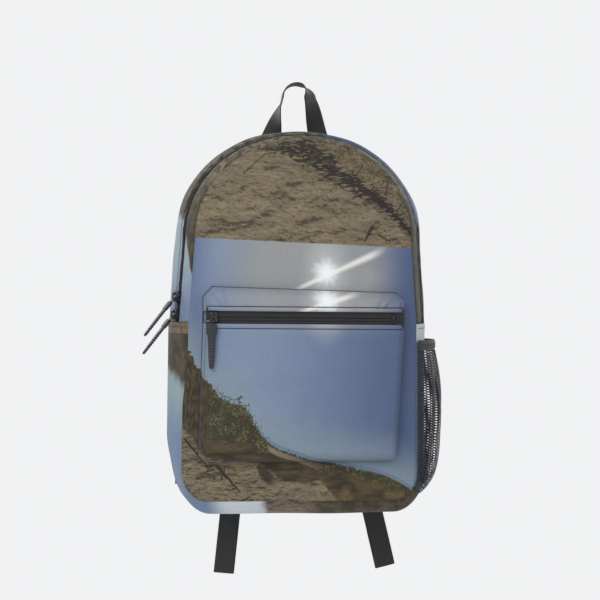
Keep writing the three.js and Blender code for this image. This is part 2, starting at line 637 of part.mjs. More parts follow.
function addInside() {
  const under = BAND_CLOTH + GAP;
  const tapeUnder = (places, near, far) => strip(places, near, far, under + 1.2, 1.4);
  const join = ZIP_END - 2;
  add("rear_seam_tape", tapeUnder(overTop(ZIP_END + 3), -9, -3), LOOKS.webbing);
  add("rear_seam_tape_base", tapeUnder(underBase(join), -9, -3), LOOKS.webbing);
  const front = -BODY_DEPTH;
  add("front_seam_tape_arch", tapeUnder(overTop(FOLD + 3), front + 2, front + 9), LOOKS.webbing);
  add("front_seam_tape_base", tapeUnder(underBase(join), front + 2, front + 9), LOOKS.webbing);
  add("base_lining", strip(underBase(join), front + 10, -10, under + GAP, 1), LOOKS.lining);

  const back = -SLEEVE_SPACE;
  const foot = BODY_BOTTOM + 9;
  const sleeve = new THREE.Shape()
    .moveTo(-128, SLEEVE_TOP)
    .lineTo(-128, foot + 40)
    .absarc(-88, foot + 40, 40, Math.PI, Math.PI * 1.5)
    .lineTo(88, foot)
    .absarc(88, foot + 40, 40, Math.PI * 1.5, Math.PI * 2)
    .lineTo(128, SLEEVE_TOP);
  const settings = { depth: SLEEVE_THICK, bevelEnabled: false, curveSegments: 5 };
  const turned = new THREE.ExtrudeGeometry(sleeve, settings).rotateX(Math.PI / 2);
  add("laptop_sleeve", turned.translate(0, back, 0), LOOKS.lining);
  const binding = box(256, SLEEVE_THICK + 2, 6, 0, back - SLEEVE_THICK / 2, SLEEVE_TOP + 3 + GAP);
  add("sleeve_binding", binding, LOOKS.webbing);
  const over = back - SLEEVE_THICK - 2.6;
  const path = [
    [0, -2, SLEEVE_TOP + 30],
    [0, -4, SLEEVE_TOP + 21],
    [0, back - 3, SLEEVE_TOP + 17],
    [0, over, SLEEVE_TOP + 10],
    [0, over, SLEEVE_TOP - 34],
  ];
  const wide = new THREE.Vector3(1, 0, 0);
  add("sleeve_strap", sweep(framesAlong(path, wide), strapSection(WEBBING, WEBBING_THICK)), LOOKS.webbing);
}

function addHandle() {
  const radius = HOOK_RADIUS + WEBBING_THICK / 2;
  const foot = YOKE_TOP + 4.5;
  const half = (side) =>
    steps(0, 1, 6).map((u) => {
      const level = Math.max(0, (u - 1 / 3) * 1.5); // it stays behind the padded back before it leans and turns
      const twist = Math.min(1, Math.max(0, (u - 0.27) * 2.2));
      const turn = (twist * twist * (3 - 2 * twist) * Math.PI) / 2;
      const reach = HANDLE_BASE_HALF + (radius - HANDLE_BASE_HALF) * u;
      const y = (BACK_FACE + CLOTH / 2) * (1 - level * level * (3 - 2 * level));
      const at = new THREE.Vector3(side * reach, y, foot + (-HOOK_RADIUS - foot) * u);
      const across = new THREE.Vector3(Math.cos(turn), side * Math.sin(turn), 0);
      const out = new THREE.Vector3(-side * Math.sin(turn), Math.cos(turn), 0);
      return { at, across: across.multiplyScalar(side), out: out.multiplyScalar(side) };
    });
  const loop = steps(0, Math.PI, 8)
    .slice(1, -1)
    .map((a) => {
      const out = new THREE.Vector3(Math.cos(a), 0, Math.sin(a));
      const at = out.clone().multiplyScalar(radius).setY(0);
      at.z -= HOOK_RADIUS;
      return { at, across: new THREE.Vector3(0, 1, 0), out: out.negate() };
    });
  const right = half(1);
  const left = half(-1)
    .reverse()
    .map(({ at, across, out }) => ({ at, across: across.negate(), out: out.negate() }));
  const frames = [...right, ...loop, ...left];
  frames.forEach((f, i) => {
    const next = frames[Math.min(i + 1, frames.length - 1)].at;
    const last = frames[Math.max(i - 1, 0)].at;
    const along = next.clone().sub(last).normalize();
    f.across = f.across.clone().addScaledVector(along, -f.across.dot(along)).normalize();
    f.out = along.clone().cross(f.across);
  });
  add("carry_handle", sweep(frames, strapSection(WEBBING, WEBBING_THICK)), LOOKS.webbing);
}

// Ladder lock in its own frame: X across the strap, Y up the strap, Z away from the bag.
function ladderLock() {
  const head = LOCK_TALL / 2;
  const plate = roundPlate(LOCK_WIDE, LOCK_TALL, 4, -LOCK_THICK / 2, LOCK_THICK / 2);
  const slot = (top, tall) => box(WEBBING + 2.4, tall, LOCK_THICK * 3, 0, top - tall / 2, 0);
  const lip = box(LOCK_WIDE - 4, 4, 3, 0, 2 - head, LOCK_THICK / 2 + 1);
  return joined(cut(plate, slot(head - LOCK_BAR, 4.6), slot(head - 11.4, 4), slot(head - 19, 4)), lip);
}

// A padded shoulder strap with its sewn-on webbing, ladder lock, tail and lower anchor.
function addStrap(name, side) {
  const lock = new THREE.Vector3(...LOCK_AT[name]);
  const lean = THREE.MathUtils.degToRad(TAIL_LEAN[name]) * side;
  const along = new THREE.Vector3(-Math.sin(lean), 0, Math.cos(lean));
  const out = new THREE.Vector3(0, 1, 0);
  const wide = along.clone().cross(out);
  const head = LOCK_TALL / 2;
  const foot = lock.clone().addScaledVector(along, head + 10);
  const across = new THREE.Vector3(1, 0, 0);
  const padHead = YOKE_TOP - YOKE_TALL - 3;
  const drop = padHead - foot.z;
  const bow = [
    [0, 0.02, 19],
    [0.12, 0.1, 32],
    [0.32, 0.3, 41],
    [0.55, 0.55, 42],
    [0.8, 0.83, 34],
    [1, 1, foot.y],
  ];
  const headX = side * 42;
  const line = bow.map(([down, over, y]) => [headX + (foot.x - headX) * over, y, padHead - drop * down]);
  const scales = [1, STRAP_END_WIDE / STRAP_WIDE];
  add(
    `shoulder_strap_${name}`,
    sweep(framesAlong(line, across, scales), padSection(STRAP_WIDE, STRAP_THICK)),
    LOOKS.airMesh,
  );
  const bar = head - LOCK_BAR / 2;
  const turn = steps(0, Math.PI, 6).map((a) => [LOCK_RING * Math.cos(a), bar - LOCK_RING * Math.sin(a)]);
  const round = [[LOCK_RING, head + 6], ...turn, [-LOCK_RING, head + 6]];
  const sewn = round.map(([y, up]) => lock.clone().addScaledVector(along, up).addScaledVector(out, y));
  add(`strap_loop_${name}`, sweep(polyFrames(sewn, wide), strapSection(WEBBING, WEBBING_THICK)), LOOKS.webbing);
  add(`ladder_lock_${name}`, ladderLock(), LOOKS.plastic, frame(lock, along, out));

  const lipOut = LOCK_THICK / 2 + 2.5;
  const start = lock.clone().addScaledVector(along, -2).addScaledVector(out, lipOut + GAP + WEBBING_THICK / 2);
  const end = start.clone().addScaledVector(along, -TAIL_LONG);
  const tail = [start, end].map((at) => ({ at, across: wide, out }));
  const tailBody = sweep(tail, strapSection(WEBBING, WEBBING_THICK));
  const hemMid = end.clone().addScaledVector(along, TAIL_HEM / 2);
  const hem = [TAIL_HEM / 2, -TAIL_HEM / 2].map((d) => ({
    at: hemMid.clone().addScaledVector(along, d).addScaledVector(out, WEBBING_THICK),
    across: wide,
    out,
  }));
  const hemBody = sweep(hem, strapSection(WEBBING, WEBBING_THICK + 0.2));
  add(`strap_tail_${name}`, joined(tailBody, hemBody), LOOKS.webbing);

  const anchorX = side * 130;
  const lockX = lock.x + side * 22.5;
  const anchorZ = BODY_BOTTOM + 34;
  const lower = [
    [anchorX - side * 10, 15.6, anchorZ + 5],
    [lockX + (anchorX - side * 10 - lockX) * 0.4, 17.5, (anchorZ + lock.z + 7) / 2],
    [lockX, lock.y - LOCK_THICK / 2 - 4.4, lock.z + 2],
  ];
  const slant = new THREE.Vector3(side * 0.4, 0, 1).normalize();
  add(
    `strap_lower_webbing_${name}`,
    sweep(framesAlong(lower, slant), strapSection(WEBBING, WEBBING_THICK)),
    LOOKS.webbing,
  );
  const tab = new THREE.Shape()
    .moveTo(side * 142, anchorZ + 18)
    .lineTo(side * 142, anchorZ - 12)
    .lineTo(side * 120, anchorZ - 16)
    .lineTo(side * 110, anchorZ + 12);
  const settings = { depth: CLOTH, bevelEnabled: false };
  const turned = new THREE.ExtrudeGeometry(tab, settings).rotateX(Math.PI / 2);
  add(`strap_anchor_${name}`, turned.translate(0, BACK_FACE + CLOTH, 0), LOOKS.webbing);
}

addShell();
addMainZip();
addFrontPocket();
addPocketZipParts();
addMainSlider("upper", 0);
addMainSlider("lower", 1);
addMeshPocket();
addBack();
addInside();
addHandle();
addStrap("left", -1);
addStrap("right", 1);

export default bag;
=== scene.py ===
"""A printed daypack hanging from its carry handle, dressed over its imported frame.

Lengths are in millimetres until a mesh is made, when they become metres. X points right seen from the front,
the front faces -Y, Z points up, and the origin is where the handle rests on its hook.
"""

from __future__ import annotations

import logging
import math
import sys
from dataclasses import dataclass
from enum import Enum
from typing import Callable, Sequence

import bpy
import numpy as np
from mathutils import Matrix, Vector

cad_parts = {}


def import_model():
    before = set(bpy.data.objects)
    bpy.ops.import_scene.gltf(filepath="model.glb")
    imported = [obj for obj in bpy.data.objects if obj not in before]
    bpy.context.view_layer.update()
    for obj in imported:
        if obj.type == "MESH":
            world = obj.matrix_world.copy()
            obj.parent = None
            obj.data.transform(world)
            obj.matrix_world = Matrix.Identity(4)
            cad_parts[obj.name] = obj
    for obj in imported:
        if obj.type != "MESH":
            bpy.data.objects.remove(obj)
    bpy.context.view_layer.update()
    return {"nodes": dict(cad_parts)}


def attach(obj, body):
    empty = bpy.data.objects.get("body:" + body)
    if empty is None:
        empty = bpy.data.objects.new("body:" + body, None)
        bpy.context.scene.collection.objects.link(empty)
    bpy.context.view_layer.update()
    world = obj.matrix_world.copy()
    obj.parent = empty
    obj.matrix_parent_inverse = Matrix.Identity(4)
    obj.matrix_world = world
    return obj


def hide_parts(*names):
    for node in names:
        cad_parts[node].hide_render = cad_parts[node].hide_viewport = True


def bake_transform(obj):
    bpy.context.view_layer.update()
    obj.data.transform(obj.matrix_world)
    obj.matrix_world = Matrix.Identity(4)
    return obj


log = logging.getLogger("daypack")
Array = np.ndarray
Colour = tuple[float, float, float]
Piece = bpy.types.Object
Socket = bpy.types.NodeSocket
MM = 0.001


def ink(red: float, green: float, blue: float) -> Colour:
    """Linear colour of a screen colour given as 0 to 255."""
    parts = [c / 255.0 for c in (red, green, blue)]
    return tuple(c / 12.92 if c <= 0.04045 else ((c + 0.055) / 1.055) ** 2.4 for c in parts)


def ease(x: Array, low: float, high: float) -> Array:
    """0 below `low`, 1 above `high`, and a smooth cubic step between."""
    t = np.clip((np.asarray(x, float) - low) / (high - low), 0.0, 1.0)
    return t * t * (3.0 - 2.0 * t)


def bell(x: Array, width: float) -> Array:
    """Bell curve of height 1 and the given half-width."""
    return np.exp(-((np.asarray(x, float) / width) ** 2))


def dimmed(colour: Colour, factor: float) -> Colour:
    """A colour times a factor."""
    return tuple(c * factor for c in colour)


def signed_power(value: Array, power: float) -> Array:
    """The size of each value raised to a power, with its sign kept: it squares off a circle's points."""
    return np.sign(value) * np.abs(value) ** power


def stack(*parts: Array | float) -> Array:
    """Coordinates side by side on a new last axis, each spread to the shape they share."""
    return np.stack(np.broadcast_arrays(*parts), axis=-1)


def distances(line: Array) -> Array:
    """Distance along a line from its start to each of its points."""
    return np.concatenate([[0.0], np.cumsum(np.linalg.norm(np.diff(line, axis=0), axis=1))])


def circuit(corners: Array, count: int) -> tuple[Array, Array]:
    """Both coordinates of evenly shared points on a four-sided outline whose first corner is repeated last."""
    t = np.linspace(0, 4, count)
    return np.interp(t, np.arange(5), corners[:, 0]), np.interp(t, np.arange(5), corners[:, 1])


def ripple(a: Array, b: Array, pitch: float, seed: int, waves: int = 7) -> Array:
    """Sum of sine waves that run in several directions, about `pitch` long, between about -1 and 1.

    Args:
        a: First coordinate, in millimetres.
        b: Second coordinate, of the same shape.
        pitch: Usual wave length, in millimetres.
        seed: Seed of the waves' directions and phases.
        waves: Number of waves.

    Returns:
        An array of the coordinates' shape.
    """
    random = np.random.default_rng(seed)
    total = np.zeros(np.broadcast(a, b).shape)
    for _ in range(waves):
        turn, phase = random.uniform(0, 2 * np.pi, 2)
        length = pitch * random.uniform(0.6, 1.7)
        total += np.sin(2 * np.pi * (a * np.cos(turn) + b * np.sin(turn)) / length + phase)
    return total / np.sqrt(waves) / 1.2


# ---------------------------------------------------------------- the bag's skin


@dataclass(frozen=True)
class Skin:
    """Outer skin of the body: an arch, two sides, two corners and a base, widest behind its middle."""

    top: float = -62.0
    height: float = 445.0
    half: float = 153.0
    depth: float = 104.0
    arch_height: float = 130.0
    arch_half: float = 145.0
    arch_power: float = 2.09
    corner_wide: float = 45.0
    corner_tall: float = 50.0
    front_side: float = 21.5
    front_end: float = 18.0
    back_side: float = 8.0
    back_end: float = 6.0
    widest: float = 0.65
    flat_from: float = 0.3
    flat_to: float = 0.92
    zip_end: float = -287.0
    zip_half: float = 151.5
    sag: float = 9.0
    sag_from: float = -415.0
    sag_to: float = -475.0
    right_full: float = 1.3
    left_flare: float = 5.0

    def flare(self, z: Array) -> Array:
        """How far the front's lower left edge hangs outwards: a smooth step down."""
        return self.left_flare * ease(-z, 318, 388) * ease(z, self.bottom + 4, self.bottom + 60)

    def sunk(self, v: Array, z: Array) -> Array:
        """How far the soft lower corners have sunk inwards: a quarter sine over the depth, a smooth step down."""
        return self.sag * np.sin(0.5 * np.pi * np.clip(v / self.widest, 0, 1)) * ease(-z, -self.sag_from, -self.sag_to)

    @property
    def arch_foot(self) -> float:
        """Height at which the arch meets the sides."""
        return self.top - self.arch_height

    @property
    def bottom(self) -> float:
        """Height of the base."""
        return self.top - self.height

    @property
    def corner_mid(self) -> float:
        """Height at which the sides meet the corners."""
        return self.bottom + self.corner_tall

    @staticmethod
    def inset(v: Array, front: float, back: float, near: float, far: float) -> Array:
        """Quarter sine from `front` to 0 at `near`, then 0, then a parabola up to `back` beyond `far`.

        Args:
            v: Share of the depth.
            front: Inset at the front seam.
            back: Inset at the rear seam.
            near: Share where the first part ends.
            far: Share where the last part starts.

        Returns:
            Insets in millimetres.
        """
        rise = front * (1.0 - np.sin(0.5 * np.pi * np.clip(v / near, 0, 1)))
        fall = back * np.clip((v - far) / (1.0 - far), 0, None) ** 2
        return rise + fall

    def rim(self, s: Array, v: Array) -> Array:
        """Right-hand outline: a superellipse arch, two straight lines, a quarter ellipse and a level base.

        Args:
            s: Place along the outline, 0 at the top, 1, 2 and 3 at the joins and 4 at the middle of the base.
            v: Share of the depth, 0 at the front.

        Returns:
            Points, with the coordinates on the last axis.
        """
        s, v = np.broadcast_arrays(np.asarray(s, float), np.asarray(v, float))
        side = self.inset(v, self.front_side, self.back_side, self.widest, self.widest)
        head = self.inset(v, self.front_end, self.back_end, self.widest, self.widest)
        base = self.inset(v, self.front_end, self.back_end, self.flat_from, self.flat_to)
        turn = 0.5 * np.pi * (1.0 - np.clip(s, 0, 1))
        power = 2.0 / self.arch_power
        ax = (self.arch_half - side) * np.clip(np.cos(turn), 0, 1) ** power
        az = self.arch_foot + (self.arch_height - head) * np.clip(np.sin(turn), 0, 1) ** power
        sz = self.arch_foot + (self.corner_mid - self.arch_foot) * (s - 1.0)
        places = [self.corner_mid, self.zip_end, self.arch_foot]
        sx = np.interp(sz, places, [self.half, self.zip_half, self.arch_half]) - side - self.sunk(v, sz)
        bend = 0.5 * np.pi * np.clip(s - 2.0, 0, 1)
        cz = self.corner_mid - (self.corner_tall - base) * np.sin(bend)
        cx = self.half - self.corner_wide + (self.corner_wide - side) * np.cos(bend) - self.sunk(v, cz)
        bx = (self.half - self.corner_wide - self.sunk(v, self.sag_to)) * (4.0 - s)
        bz = self.bottom + base
        x = np.select([s <= 1, s <= 2, s <= 3], [ax, sx, cx], bx)
        z = np.select([s <= 1, s <= 2, s <= 3], [az, sz, cz], bz)
        return stack(x, -self.depth * (1.0 - v), z)

    def ruler(self) -> tuple[Array, Array]:
        """Places s along the widest outline, and the distance from the top to each."""
        s = np.linspace(0, 4, 4001)
        return s, distances(self.rim(s, np.full_like(s, self.widest)))

    def reach(self, z: float) -> float:
        """Distance along the outline from the top to height z on the straight side."""
        s, far = self.ruler()
        return float(np.interp(1 + (self.arch_foot - z) / (self.arch_foot - self.corner_mid), s, far))

    @property
    def half_round(self) -> float:
        """Distance along the outline from the top to the middle of the base."""
        return float(self.ruler()[1][-1])

    def point(self, u: Array, v: Array, lift: Array | float = 0.0) -> Array:
        """Points of the skin, moved out along its normal.

        Args:
            u: Distance along the outline from the top, positive to the right.
            v: Share of the depth.
            lift: Height above the skin.

        Returns:
            Points, with the coordinates on the last axis.
        """
        u, v = np.broadcast_arrays(np.asarray(u, float), np.asarray(v, float))
        places, far = self.ruler()
        s = np.interp(np.abs(u), far, places)
        small = 2e-3
        here = self.rim(s, v)
        down = self.rim(np.clip(s + small, 0, 4), v) - self.rim(np.clip(s - small, 0, 4), v)
        across = self.rim(s, np.clip(v + small, 0, 1)) - self.rim(s, np.clip(v - small, 0, 1))
        normal = np.cross(down, across)
        normal /= np.linalg.norm(normal, axis=-1, keepdims=True) + 1e-12
        outward = normal[..., 0] * here[..., 0] + normal[..., 2] * (here[..., 2] - FRONT_MIDDLE)
        normal *= np.where(outward < 0, -1.0, 1.0)[..., None]
        here = here + normal * np.asarray(lift, float)[..., None] if np.ndim(lift) else here + normal * lift
        fuller = self.right_full * self.sunk(v, here[..., 2]) * ease(1 - v, 0, 0.3) * np.clip(4 - s, 0, 1)
        here[..., 0] += np.where(u > 0, fuller, self.flare(here[..., 2]) * (1 - ease(v, 0, 0.5)))
        here[..., 0] *= np.where(u < 0, -1.0, 1.0)
        return here

    def line(self, u: Array, v: Array, lift: float = 0.0) -> tuple[Array, Array]:
        """Points of the skin at one height above it, and the way out from it at each."""
        here = self.point(u, v, lift)
        return here, self.point(u, v, lift + 1.0) - here

    def wrapped(self, u: Array) -> Array:
        """Distances that have run on past the middle of the base, counted from the other side."""
        return np.where(u < -self.half_round, u + 2 * self.half_round, u)

    def front_radius(self, angle: Array) -> Array:
        """Distance from the middle of the front panel to its seam, in the direction `angle` from straight up."""
        s = np.linspace(0, 4, 1601)
        line = self.rim(s, np.zeros_like(s))
        z = line[:, 2] - FRONT_MIDDLE
        sides = [line[:, 0], line[:, 0] + self.flare(line[:, 2])]
        right, left = (np.interp(np.abs(angle), np.arctan2(x, z), np.hypot(x, z)) for x in sides)
        return np.where(np.asarray(angle) < 0, left, right)


FRONT_MIDDLE = -285.0  # height of the front panel's middle
SKIN = Skin()
FOLD = -243.0  # height of the line that the open front folds about
FOLD_START, FOLD_END = (0, -0.114, -0.251), (0, -0.114, -0.233)  # in metres
BEHIND, AHEAD, CORE = (0, 400, -285), (0, -400, -285), (0, -52, -285)  # places that a cloth's outer face looks from
INNER = 10000.0  # added to the flow of printed cloth on its coated inner face
UP, FORWARD = np.array([0.0, 0.0, 1.0]), np.array([0.0, -1.0, 0.0])
ZIP_FRONT, ZIP_BACK = -80.0, -72.0  # the two lips of the main zip, along Y


def front_face(x: Array, z: Array) -> Array:
    """Depth (negative Y) of the front panel at (x, z): a low dome that rolls back into its seam.

    Args:
        x: Across, in millimetres.
        z: Up.

    Returns:
        Distances in front of the origin's plane.
    """
    angle = np.arctan2(x, z - FRONT_MIDDLE)
    far = np.hypot(x, z - FRONT_MIDDLE)
    radius = SKIN.front_radius(angle)
    share = np.clip(far / radius, 0, 1)
    edge = np.clip(radius - far, 0, None)
    dome = 8.0 * (1.0 - share**5)
    soft = 0.9 * ripple(x, z, 95.0, 11) * (1 - share**6)
    pucker = 0.28 * ripple(angle * 150.0, far * 0.15, 9.0, 12) * np.exp(-edge / 9.0)
    return 106.0 + dome + soft + pucker - 1.8 * bell(edge, 1.8)


# ---------------------------------------------------------------- meshes from arrays


def normals(grid: Array) -> Array:
    """Unit normals of a grid of points, from the cross product of its two directions."""
    n = np.cross(np.gradient(grid, axis=0), np.gradient(grid, axis=1))
    return n / (np.linalg.norm(n, axis=-1, keepdims=True) + 1e-12)


def mesh_object(name: str, points: Array, faces: Sequence[Array], flow: Array | None = None) -> Piece:
    """A smooth mesh object from arrays.

    Args:
        name: Name of the piece.
        points: Vertices in millimetres.
        faces: Arrays of vertex numbers, one row for each face.
        flow: Two numbers for each vertex, in millimetres, that a woven pattern follows.

    Returns:
        The object, linked to the scene.
    """
    mesh = bpy.data.meshes.new(name)
    mesh.from_pydata((np.asarray(points) * MM).tolist(), [], [f for a in faces for f in np.asarray(a).tolist()])
    mesh.validate()
    if flow is not None:
        layer = mesh.uv_layers.new(name="flow")
        corner = np.empty(len(mesh.loops), dtype=np.int32)
        mesh.loops.foreach_get("vertex_index", corner)
        layer.data.foreach_set("uv", (np.asarray(flow)[corner] * MM).astype(np.float32).ravel())
    mesh.polygons.foreach_set("use_smooth", np.ones(len(mesh.polygons), dtype=bool))
    mesh.update()
    piece = bpy.data.objects.new(name, mesh)
    bpy.context.scene.collection.objects.link(piece)
    return piece


def grid_faces(rows: int, columns: int, start: int = 0, flip: bool = False, ring: bool = False) -> Array:
    """Quads of a grid whose points are numbered row by row from `start`; `ring` joins its last column to its first.

    Args:
        rows: Rows of points.
        columns: Points of a row.
        start: Number of the first point.
        flip: Whether the quads turn the other way.
        ring: Whether each row is closed.

    Returns:
        Four point numbers for each quad.
    """
    i, j = np.meshgrid(np.arange(rows - 1), np.arange(columns if ring else columns - 1), indexing="ij")
    k = (j + 1) % columns
    quad = stack(i * columns + j, i * columns + k, (i + 1) * columns + k, (i + 1) * columns + j)
    quad = quad.reshape(-1, 4) + start
    return quad[:, ::-1] if flip else quad


def cloth(name: str, grid: Array, thick: float, outward: Array, flow: Array | None = None,
          inner: float = 0.0) -> Piece:
    """A closed sheet: the grid, the same grid moved inwards by `thick`, and the walls between their edges.

    Args:
        name: Name of the piece.
        grid: Points of the outer face, rows by columns.
        thick: Thickness of the cloth.
        outward: A point that the outer face looks away from.
        flow: Two numbers for each point of the grid.
        inner: What the inner face adds to the first of them, so that a finish can tell the two faces apart.

    Returns:
        The mesh object.
    """
    n = normals(grid)
    facing = np.sum(n * (grid - np.asarray(outward, float)), axis=-1)
    if np.median(facing) < 0:
        grid = grid[::-1]
        flow = None if flow is None else flow[::-1]
        n = normals(grid)
    rows, columns = grid.shape[:2]
    count = rows * columns
    points = np.concatenate([grid.reshape(-1, 3), (grid - n * thick).reshape(-1, 3)])
    number = np.arange(count).reshape(rows, columns)
    edge = np.concatenate([number[0, :-1], number[:-1, -1], number[-1, :0:-1], number[:0:-1, 0]])
    after = np.roll(edge, -1)
    wall = stack(edge, edge + count, after + count, after)
    faces = [grid_faces(rows, columns, flip=True), grid_faces(rows, columns, count), wall[:, ::-1]]
    both = None if flow is None else np.concatenate([flow.reshape(-1, 2), flow.reshape(-1, 2) + np.array([inner, 0])])
    piece = mesh_object(name, points, faces, both)
    turn_out(piece)
    return piece


def turn_out(piece: Piece) -> None:
    """Turns all faces of a closed mesh outwards, by the sign of the volume they enclose."""
    mesh = piece.data
    mesh.calc_loop_triangles()
    tri = np.empty(len(mesh.loop_triangles) * 3, dtype=np.int32)
    mesh.loop_triangles.foreach_get("vertices", tri)
    co = np.empty(len(mesh.vertices) * 3, dtype=np.float32)
    mesh.vertices.foreach_get("co", co)
    a, b, c = co.reshape(-1, 3)[tri.reshape(-1, 3)].transpose(1, 0, 2).astype(float)
    if np.einsum("ij,ij->i", a, np.cross(b, c)).sum() < 0:
        mesh.flip_normals()


def loft(name: str, rings: Array, flow: Array | None = None) -> Piece:
    """A closed solid through rings of points, with a flat cap on each end.

    Args:
        name: Name of the piece.
        rings: Points, rings by points of a ring by coordinates.
        flow: Two numbers for each point.

    Returns:
        The mesh object.
    """
    count, around = rings.shape[:2]
    caps = [np.arange(around)[None, ::-1], np.arange(around)[None, :] + (count - 1) * around]
    faces = [grid_faces(count, around, ring=True), *caps]
    piece = mesh_object(name, rings.reshape(-1, 3), faces, None if flow is None else flow.reshape(-1, 2))
    turn_out(piece)
    return piece


def rounded(wide: float, thick: float, soft: float, steps: int = 4) -> Array:
    """Outline of a rounded rectangle, as points of its four quarter-circle corners joined in order.

    Args:
        wide: Width.
        thick: Height.
        soft: Radius of its corners.
        steps: Points of a corner.

    Returns:
        The points, in order.
    """
    corners = []
    for quarter, (x, y) in enumerate(((1, 1), (-1, 1), (-1, -1), (1, -1))):
        turn = np.linspace(0, np.pi / 2, steps) + quarter * np.pi / 2
        across, up = x * (wide / 2 - soft) + soft * np.cos(turn), y * (thick / 2 - soft) + soft * np.sin(turn)
        corners.append(stack(across, up))
    return np.concatenate(corners)


def spline(points: Sequence[Sequence[float]], count: int) -> Array:
    """Smooth line through points: a Catmull-Rom curve by chord length, resampled at even distances.

    Args:
        points: Places that it passes.
        count: Points of the line.

    Returns:
        The line's points.
    """
    p = np.asarray(points, float)
    p = np.concatenate([[2 * p[0] - p[1]], p, [2 * p[-1] - p[-2]]])
    t = np.linspace(0, len(points) - 1 - 1e-9, 40 * len(points))
    i, f = np.floor(t).astype(int), (t % 1.0)[:, None]
    a, b, c, d = p[i], p[i + 1], p[i + 2], p[i + 3]
    line = 0.5 * (2 * b + (c - a) * f + (2 * a - 5 * b + 4 * c - d) * f**2 + (3 * b - a - 3 * c + d) * f**3)
    far = distances(line)
    even = np.linspace(0, far[-1], count)
    return np.stack([np.interp(even, far, line[:, k]) for k in range(3)], axis=-1)


def sweep(name: str, line: Array, section: Array, across: Array, scale: Array | float = 1.0) -> Piece:
    """A section carried along a line: each ring stands square to the line, with its width along `across`.

    Args:
        name: Name of the piece.
        line: Points of the line.
        section: Points of the section, as (across, out).
        across: One width direction, or one for each point of the line.
        scale: Width factor, one or one for each point.

    Returns:
        The mesh object, with its flow running (along, across).
    """
    along = np.gradient(line, axis=0)
    along /= np.linalg.norm(along, axis=1, keepdims=True)
    side = np.broadcast_to(np.asarray(across, float), line.shape)
    side = side - along * np.sum(side * along, axis=1, keepdims=True)
    side /= np.linalg.norm(side, axis=1, keepdims=True)
    out = np.cross(along, side)
    wide = section[None, :, 0] * np.broadcast_to(np.asarray(scale, float), (len(line),))[:, None]
    rings = line[:, None] + side[:, None] * wide[..., None] + out[:, None] * section[None, :, 1, None]
    far = distances(line)
    flow = np.stack(np.broadcast_arrays(far[:, None], section[None, :, 0]), axis=-1)
    return loft(name, rings, flow)


def beads(name: str, at: Array, along: Array, out: Array, long: float, wide: float, tall: float) -> Piece:
    """Many small rounded bars in one mesh, such as stitches or zip teeth.

    Each is a six-point ring at four places along its length, narrowed at both ends.

    Args:
        name: Name of the piece.
        at: Middle of each bar.
        along: Direction of each bar.
        out: Direction in which each bar stands up.
        long: Length of a bar.
        wide: Width of a bar.
        tall: Height of a bar.

    Returns:
        The mesh object.
    """
    along = along / np.linalg.norm(along, axis=-1, keepdims=True)
    out = out - along * np.sum(out * along, axis=-1, keepdims=True)
    out = out / (np.linalg.norm(out, axis=-1, keepdims=True) + 1e-12)
    side = np.cross(along, out)
    turn = np.linspace(0, 2 * np.pi, 6, endpoint=False)
    shape = np.concatenate([
        stack(np.full(6, place * long), size * wide / 2 * np.cos(turn), size * tall / 2 * np.sin(turn))
        for place, size in ((-0.5, 0.35), (-0.3, 1.0), (0.3, 1.0), (0.5, 0.35))
    ])
    basis = np.stack([along, side, out], axis=1)
    points = at[:, None] + np.einsum("pk,nkc->npc", shape, basis)
    start = (np.arange(len(at)) * len(shape))[:, None, None]
    quads = grid_faces(4, 6, ring=True)[None] + start
    ends = np.stack([np.arange(6)[::-1], np.arange(6) + 18])[None] + start
    piece = mesh_object(name, points.reshape(-1, 3), [quads.reshape(-1, 4), ends.reshape(-1, 6)])
    turn_out(piece)
    return piece


def along_line(places: Array, far: Array, values: Array) -> Array:
    """Values given at distances `far`, read at other distances."""
    return np.stack([np.interp(places, far, values[:, k]) for k in range(3)], axis=-1)


def stitches(name: str, line: Array, out: Array, pitch: float = 3.4, long: float = 2.5,
             wide: float = 0.75) -> Piece:
    """A row of thread stitches along a line that lies on cloth.

    Args:
        name: Name of the piece.
        line: Points of the line.
        out: Direction away from the cloth at each point.
        pitch: Distance from stitch to stitch.
        long: Length of a stitch.
        wide: Thickness of the thread.

    Returns:
        The mesh object.
    """
    out = np.broadcast_to(np.asarray(out, float), line.shape)
    far = distances(line)
    places = np.arange(pitch / 2, far[-1], pitch)
    slope = np.gradient(line, axis=0)
    at, along, up = (along_line(places, far, values) for values in (line, slope, out))
    return beads(name, at, along, up, long, wide, 0.73 * wide)


# ---------------------------------------------------------------- finishes


